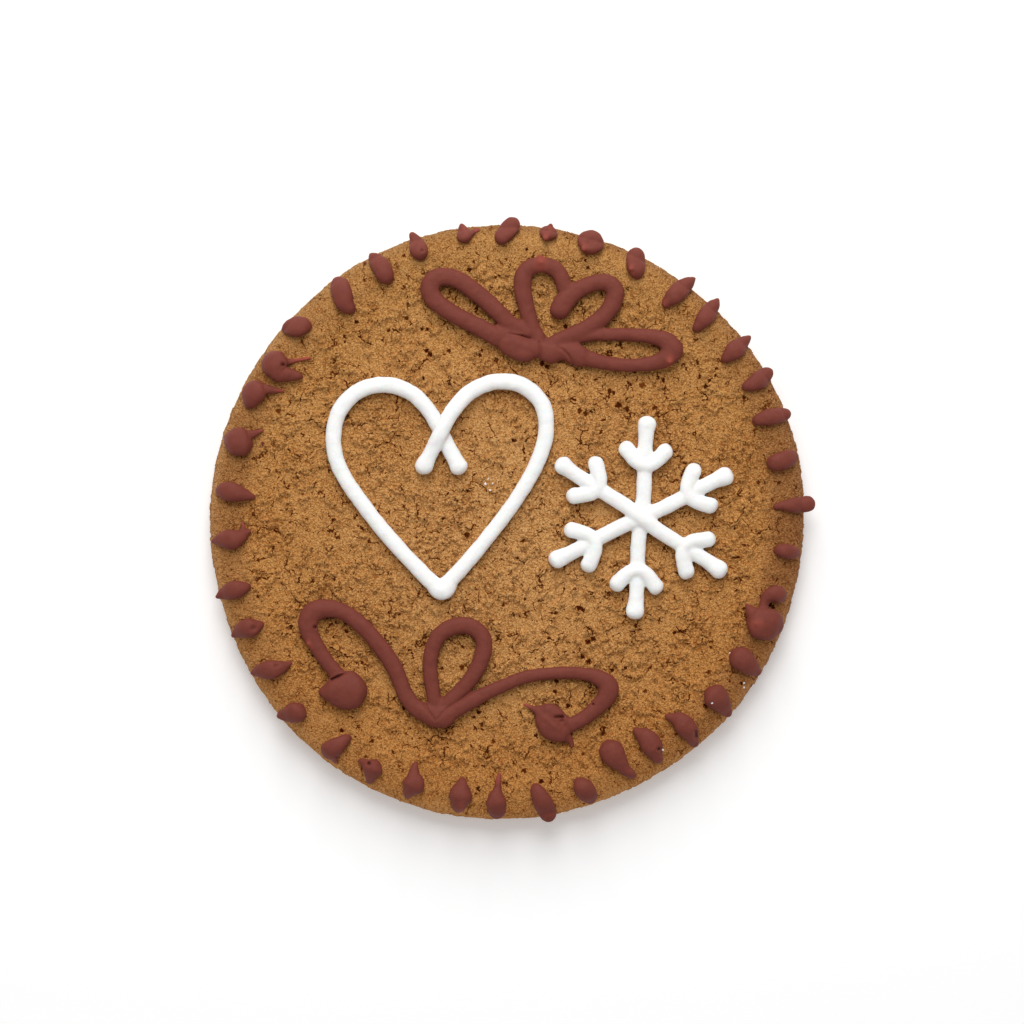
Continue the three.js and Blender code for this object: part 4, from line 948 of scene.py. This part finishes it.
def mark_thin(mesh, places, lines, peaks, paler, pressed):
    """Writes how thin the widest piped line over each point is, from 0 to 1, for the lighter thin tips and
    for peaks, partly a painted highlight, and less than 0 for the painted shade in deep creases."""
    rows = np.vstack([smooth_line(line, 4) for line in lines])
    tree = kdtree.KDTree(len(rows))
    for i, row in enumerate(rows):
        tree.insert((row[0] * MM, row[1] * MM, 0), i)
    tree.balance()
    widths = []
    for x, y, z in places:
        over = [rows[i, 2] for _, i, away in tree.find_n((x, y, 0), 12) if away / MM < rows[i, 2] / 2 + 0.3]
        widths.append(max(over, default=0))
    values = np.clip((FULL_COLOUR_WIDTH_MM - np.array(widths)) / 1.4, 0, 0.6)
    # the edge by the crust shows a little of the same
    values = np.maximum(values, np.clip(0.35 - places[:, 2] / MM / 1.4, 0, 0.35))
    # peaks: lighter, partly a painted highlight
    for x, y, width, lift in np.vstack([smooth_line(peak, 4) for peak in peaks] or [np.zeros((0, 4))]):
        away = np.hypot(places[:, 0] / MM - x, places[:, 1] / MM - y) / width
        values = np.maximum(values, np.clip(1.2 - 1.2 * away, 0, 1) * paler)
    # painted shade in deep creases
    values -= np.clip(1.5 * (pressed - 0.3), 0, 1.5)
    mesh.attributes.new("thin", "FLOAT", "POINT").data.foreach_set("value", np.asarray(values, np.float32))


def icing_material(name, colour, thin_and_highlight_colour, roughness, scatter, mottling):
    """Dried sugar icing, its tone mottled by a share of itself, lighter on thin tips and peaks, with painted
    shade in deep creases.
    """
    material, tree, shader = new_material(name, {
        "Roughness": roughness, "IOR": 1.45, "Specular IOR Level": 0.3, "Subsurface Weight": scatter,
        "Subsurface Radius": (0.0012, 0.0008, 0.0006), "Subsurface Scale": 1.0})
    place = add(tree, VECTOR_MATH, {"Vector": add(tree, "ShaderNodeTexCoord").outputs["Object"],
                                    "Scale": 1 / MM}, operation="SCALE")
    thin = add(tree, "ShaderNodeAttribute", attribute_name="thin")
    base = add(tree, MIX, {0: thin.outputs["Fac"], 6: colour, 7: thin_and_highlight_colour}, data_type="RGBA")
    mottle = add(tree, NOISE, {"Vector": place, "Scale": 1 / 1.2, "Detail": 5.0, "Roughness": 0.7})
    shade = add(tree, RANGE, [mottle, 0.3, 0.7, 1 - mottling, 1 + 0.8 * mottling])
    # painted shade in deep creases, where the thin attribute is below 0
    dark = add(tree, RANGE, [thin.outputs["Fac"], -0.9, -0.1, 0.3, 1.0])
    shade = add(tree, MATH, [shade, dark], operation="MULTIPLY")
    mottled = add(tree, VECTOR_MATH, {"Vector": base.outputs[2], "Scale": shade}, operation="SCALE")
    tree.links.new(mottled.outputs[0], shader.inputs["Base Color"])
    sugar = add(tree, NOISE, {"Vector": place, "Scale": 1 / 0.16, "Detail": 2.0})
    bump = add(tree, "ShaderNodeBump", {"Strength": 0.35, "Distance": 0.00005, "Height": sugar})
    tree.links.new(bump.outputs[0], shader.inputs["Normal"])
    return material


def red_icing():
    """Dried sugar icing, dyed a brick red: matt, slightly mottled, brighter where it is drawn out thin, and
    on peaks partly as a painted highlight.
    """
    icing = icing_settings()
    return (bpy.data.materials.get("Dried red sugar icing")
            or icing_material("Dried red sugar icing", tuple(icing.red), tuple(icing.red_thin_and_highlight),
                              roughness=0.7, scatter=0.15, mottling=0.1))


def white_icing():
    """Dried white sugar icing: a chalky satin white that glows a little in its folds."""
    white = tuple(icing_settings().white)
    return (bpy.data.materials.get("Dried white sugar icing")
            or icing_material("Dried white sugar icing", white, white,
                              roughness=0.6, scatter=0.45, mottling=0.02))


# ---- Crumbs ----

def crumbs_tree():
    """Geometry Nodes that set a lumpy crumb on each point, of the point's own size and turned at random."""
    tree, start, end = new_group(
        "Loose crumbs", "GeometryNodeTree",
        [("Geometry", "NodeSocketGeometry"), ("Seed", "NodeSocketInt", 7), ("Lumps", "NodeSocketFloat", 0.5),
         ("Material", "NodeSocketMaterial")],
        [("Geometry", "NodeSocketGeometry")])
    size = add(tree, NAMED, ["size"], data_type="FLOAT")
    ball = add(tree, "GeometryNodeMeshIcoSphere", {"Radius": 0.5, "Subdivisions": 4})
    stretch = add(tree, "FunctionNodeRandomValue", {0: (0.7, 0.7, 0.6), 1: (1.15, 1.0, 0.85),
                                                    "Seed": start.outputs["Seed"]}, data_type="FLOAT_VECTOR")
    turn = add(tree, "FunctionNodeRandomValue", {0: (-0.5, -0.5, 0.0), 1: (0.5, 0.5, 6.28),
                                                 "Seed": start.outputs["Seed"]}, data_type="FLOAT_VECTOR")
    scale = add(tree, VECTOR_MATH, {"Vector": stretch, "Scale": size}, operation="SCALE")
    points = add(tree, "GeometryNodeMeshToPoints", [start.outputs["Geometry"]])
    set_down = add(tree, "GeometryNodeInstanceOnPoints",
                   {"Points": points, "Instance": ball, "Rotation": turn, "Scale": scale})
    loose = add(tree, "GeometryNodeRealizeInstances", [set_down])
    place = add(tree, VECTOR_MATH, {"Vector": add(tree, "GeometryNodeInputPosition"), "Scale": 1 / MM},
                operation="SCALE")
    lumps = add(tree, NOISE, {"Vector": place, "Scale": 4.0, "Detail": 2.0})
    rise = add(tree, MATH, [lumps, 0.5], operation="SUBTRACT")
    rise = add(tree, MATH, [rise, start.outputs["Lumps"]], operation="MULTIPLY")
    rise = add(tree, MATH, [rise, MM], operation="MULTIPLY")
    offset = add(tree, VECTOR_MATH, {"Vector": add(tree, "GeometryNodeInputNormal"), "Scale": rise},
                 operation="SCALE")
    lumpy = add(tree, "GeometryNodeSetPosition", {"Geometry": loose, "Offset": offset})
    return close_tree(tree, start, end, lumpy)


def scatter(name, rows, material):
    """A piece made of crumbs that lie on the crust at rows of (x, y, size, lift) in mm."""
    x, y, size, lift = np.array(rows).T
    z = crust_height_mm(x, y) + lift + 0.25 * size
    piece = new_object(name, np.column_stack([x, y, z]) * MM)
    piece.data.attributes.new("size", "FLOAT", "POINT").data.foreach_set(
        "value", np.asarray(size * MM, np.float32))
    use_tree(piece, crumbs_tree(), Material=material)
    plain_mesh(piece)
    return piece


# ---- Operators ----

class MakeCrust(bpy.types.Operator):
    """Bake the biscuit: its smooth shape, then cracks, pits and grains"""
    bl_idname = "biscuit.crust"
    bl_label = "Crust"

    def execute(self, context):
        crust = crust_settings()
        material = crumb_material()
        piece = smooth_crust()
        use_tree(piece, relief_tree(), Material=material,
                 **{"Depth": crust.crack_depth, "Grain height": crust.grain_height})
        fewer_triangles(piece, crust.triangles)
        finish_piece(piece, "crust", "biscuit")
        return {"FINISHED"}


class MakeRimDrops(bpy.types.Operator):
    """Pipe the red drops round the rim"""
    bl_idname = "biscuit.rim_drops"
    bl_label = "Rim drops"

    def execute(self, context):
        piece = pipe("rim_drops", [on_rim(line) for line in RIM_DROPS], red_icing(), root=0.0006,
                     creases=[on_rim(line) for line in RIM_CREASES], peaks=[on_rim(run) for run in RIM_PEAKS])
        finish_piece(piece, "red_icing", "biscuit")
        return {"FINISHED"}


class MakeRedOrnaments(bpy.types.Operator):
    """Pipe the two red ornaments"""
    bl_idname = "biscuit.red_ornaments"
    bl_label = "Red ornaments"

    def execute(self, context):
        for name, lines in (("red_ornament_top", TOP_ORNAMENT), ("red_ornament_bottom", BOTTOM_ORNAMENT)):
            peaks = [peak for peak in PEAKS if (peak[0][1] > 0) == (name == "red_ornament_top")]
            piece = pipe(name + "_icing", lines, red_icing(), flow=11, creases=CREASES, peaks=peaks,
                         paler=0.45)
            finish_piece(piece, "red_icing", name)
        return {"FINISHED"}


class MakeWhiteMotifs(bpy.types.Operator):
    """Pipe the white heart and snowflake"""
    bl_idname = "biscuit.white_motifs"
    bl_label = "White motifs"

    def execute(self, context):
        for name, lines in (("white_heart", HEART), ("white_snowflake", snowflake_lines())):
            piece = pipe(name + "_icing", lines, white_icing())
            finish_piece(piece, "white_icing", name)
        return {"FINISHED"}


class MakeCrumbs(bpy.types.Operator):
    """Scatter the crumbs of dried icing"""
    bl_idname = "biscuit.crumbs"
    bl_label = "Crumbs"

    def execute(self, context):
        for name, rows, material in (("white_crumbs", WHITE_CRUMBS, white_icing()),
                                     ("red_crumbs", RED_CRUMBS, red_icing())):
            piece = scatter(name, rows, material)
            finish_piece(piece, name[:-6] + "icing", "biscuit")
        return {"FINISHED"}


class MakeStage(bpy.types.Operator):
    """Set up the floor, the light and the camera"""
    bl_idname = "biscuit.stage"
    bl_label = "Stage"

    def execute(self, context):
        stage = context.scene.biscuit_stage
        floor = new_object("floor", [(-2, -2, 0), (2, -2, 0), (2, 2, 0), (-2, 2, 0)], faces=[(0, 1, 2, 3)])
        paper = new_material("White paper", {
            "Base Color": tuple(stage.floor), "Roughness": 0.9, "Specular IOR Level": 0.1,
            "Emission Color": (1, 1, 1, 1), "Emission Strength": stage.glow})
        floor.data.materials.append(paper[0])

        middle = Vector(PHOTO_MIDDLE_MM) * MM
        camera = bpy.data.objects.new("camera", bpy.data.cameras.new("camera"))
        camera.data.lens = stage.lens
        camera.data.clip_start = 0.01
        camera.location = middle + Vector((0, 0, stage.camera_height))
        context.collection.objects.link(camera)
        context.scene.camera = camera

        lamp = bpy.data.objects.new("window", bpy.data.lights.new("window", "AREA"))
        lamp.data.shape = "RECTANGLE"
        lamp.data.size, lamp.data.size_y = WINDOW_SIZE
        lamp.data.energy = stage.key_power
        lamp.location = WINDOW_PLACE
        lamp.rotation_euler = (-lamp.location).to_track_quat("-Z", "Y").to_euler()
        context.collection.objects.link(lamp)

        world = bpy.data.worlds.new("room")
        world.use_nodes = True
        world.node_tree.nodes["Background"].inputs["Strength"].default_value = stage.sky
        world.node_tree.nodes["Background"].inputs["Color"].default_value = (1, 1, 1, 1)
        context.scene.world = world
        context.scene.view_settings.view_transform = "Standard"
        return {"FINISHED"}


class BISCUIT_PT_panel(bpy.types.Panel):
    """The biscuit's parts"""
    bl_label = "Iced gingerbread biscuit"
    bl_space_type = "VIEW_3D"
    bl_region_type = "UI"
    bl_category = "Biscuit"

    def draw(self, context):
        for operator in OPERATORS:
            self.layout.operator(operator.bl_idname)
        for group in (context.scene.biscuit_crust, context.scene.biscuit_icing, context.scene.biscuit_stage):
            for name in group.__annotations__:
                self.layout.prop(group, name)


OPERATORS = (MakeStage, MakeCrust, MakeRimDrops, MakeRedOrnaments, MakeWhiteMotifs, MakeCrumbs)
SETTINGS = (("biscuit_crust", CrustSettings), ("biscuit_icing", IcingSettings),
            ("biscuit_stage", StageSettings))


def register():
    """Registers the classes and the scene's settings."""
    for name, group in SETTINGS:
        bpy.utils.register_class(group)
        setattr(bpy.types.Scene, name, PointerProperty(type=group))
    for kind in OPERATORS + (BISCUIT_PT_panel,):
        bpy.utils.register_class(kind)


def unregister():
    """Removes what register added."""
    for kind in OPERATORS + (BISCUIT_PT_panel,):
        bpy.utils.unregister_class(kind)
    for name, group in SETTINGS:
        delattr(bpy.types.Scene, name)
        bpy.utils.unregister_class(group)


def main():
    """Makes everything in order."""
    register()
    bpy.ops.biscuit.stage()
    bpy.ops.biscuit.crust()
    bpy.ops.biscuit.rim_drops()
    bpy.ops.biscuit.red_ornaments()
    bpy.ops.biscuit.white_motifs()
    bpy.ops.biscuit.crumbs()


if __name__ == "__main__":
    main()
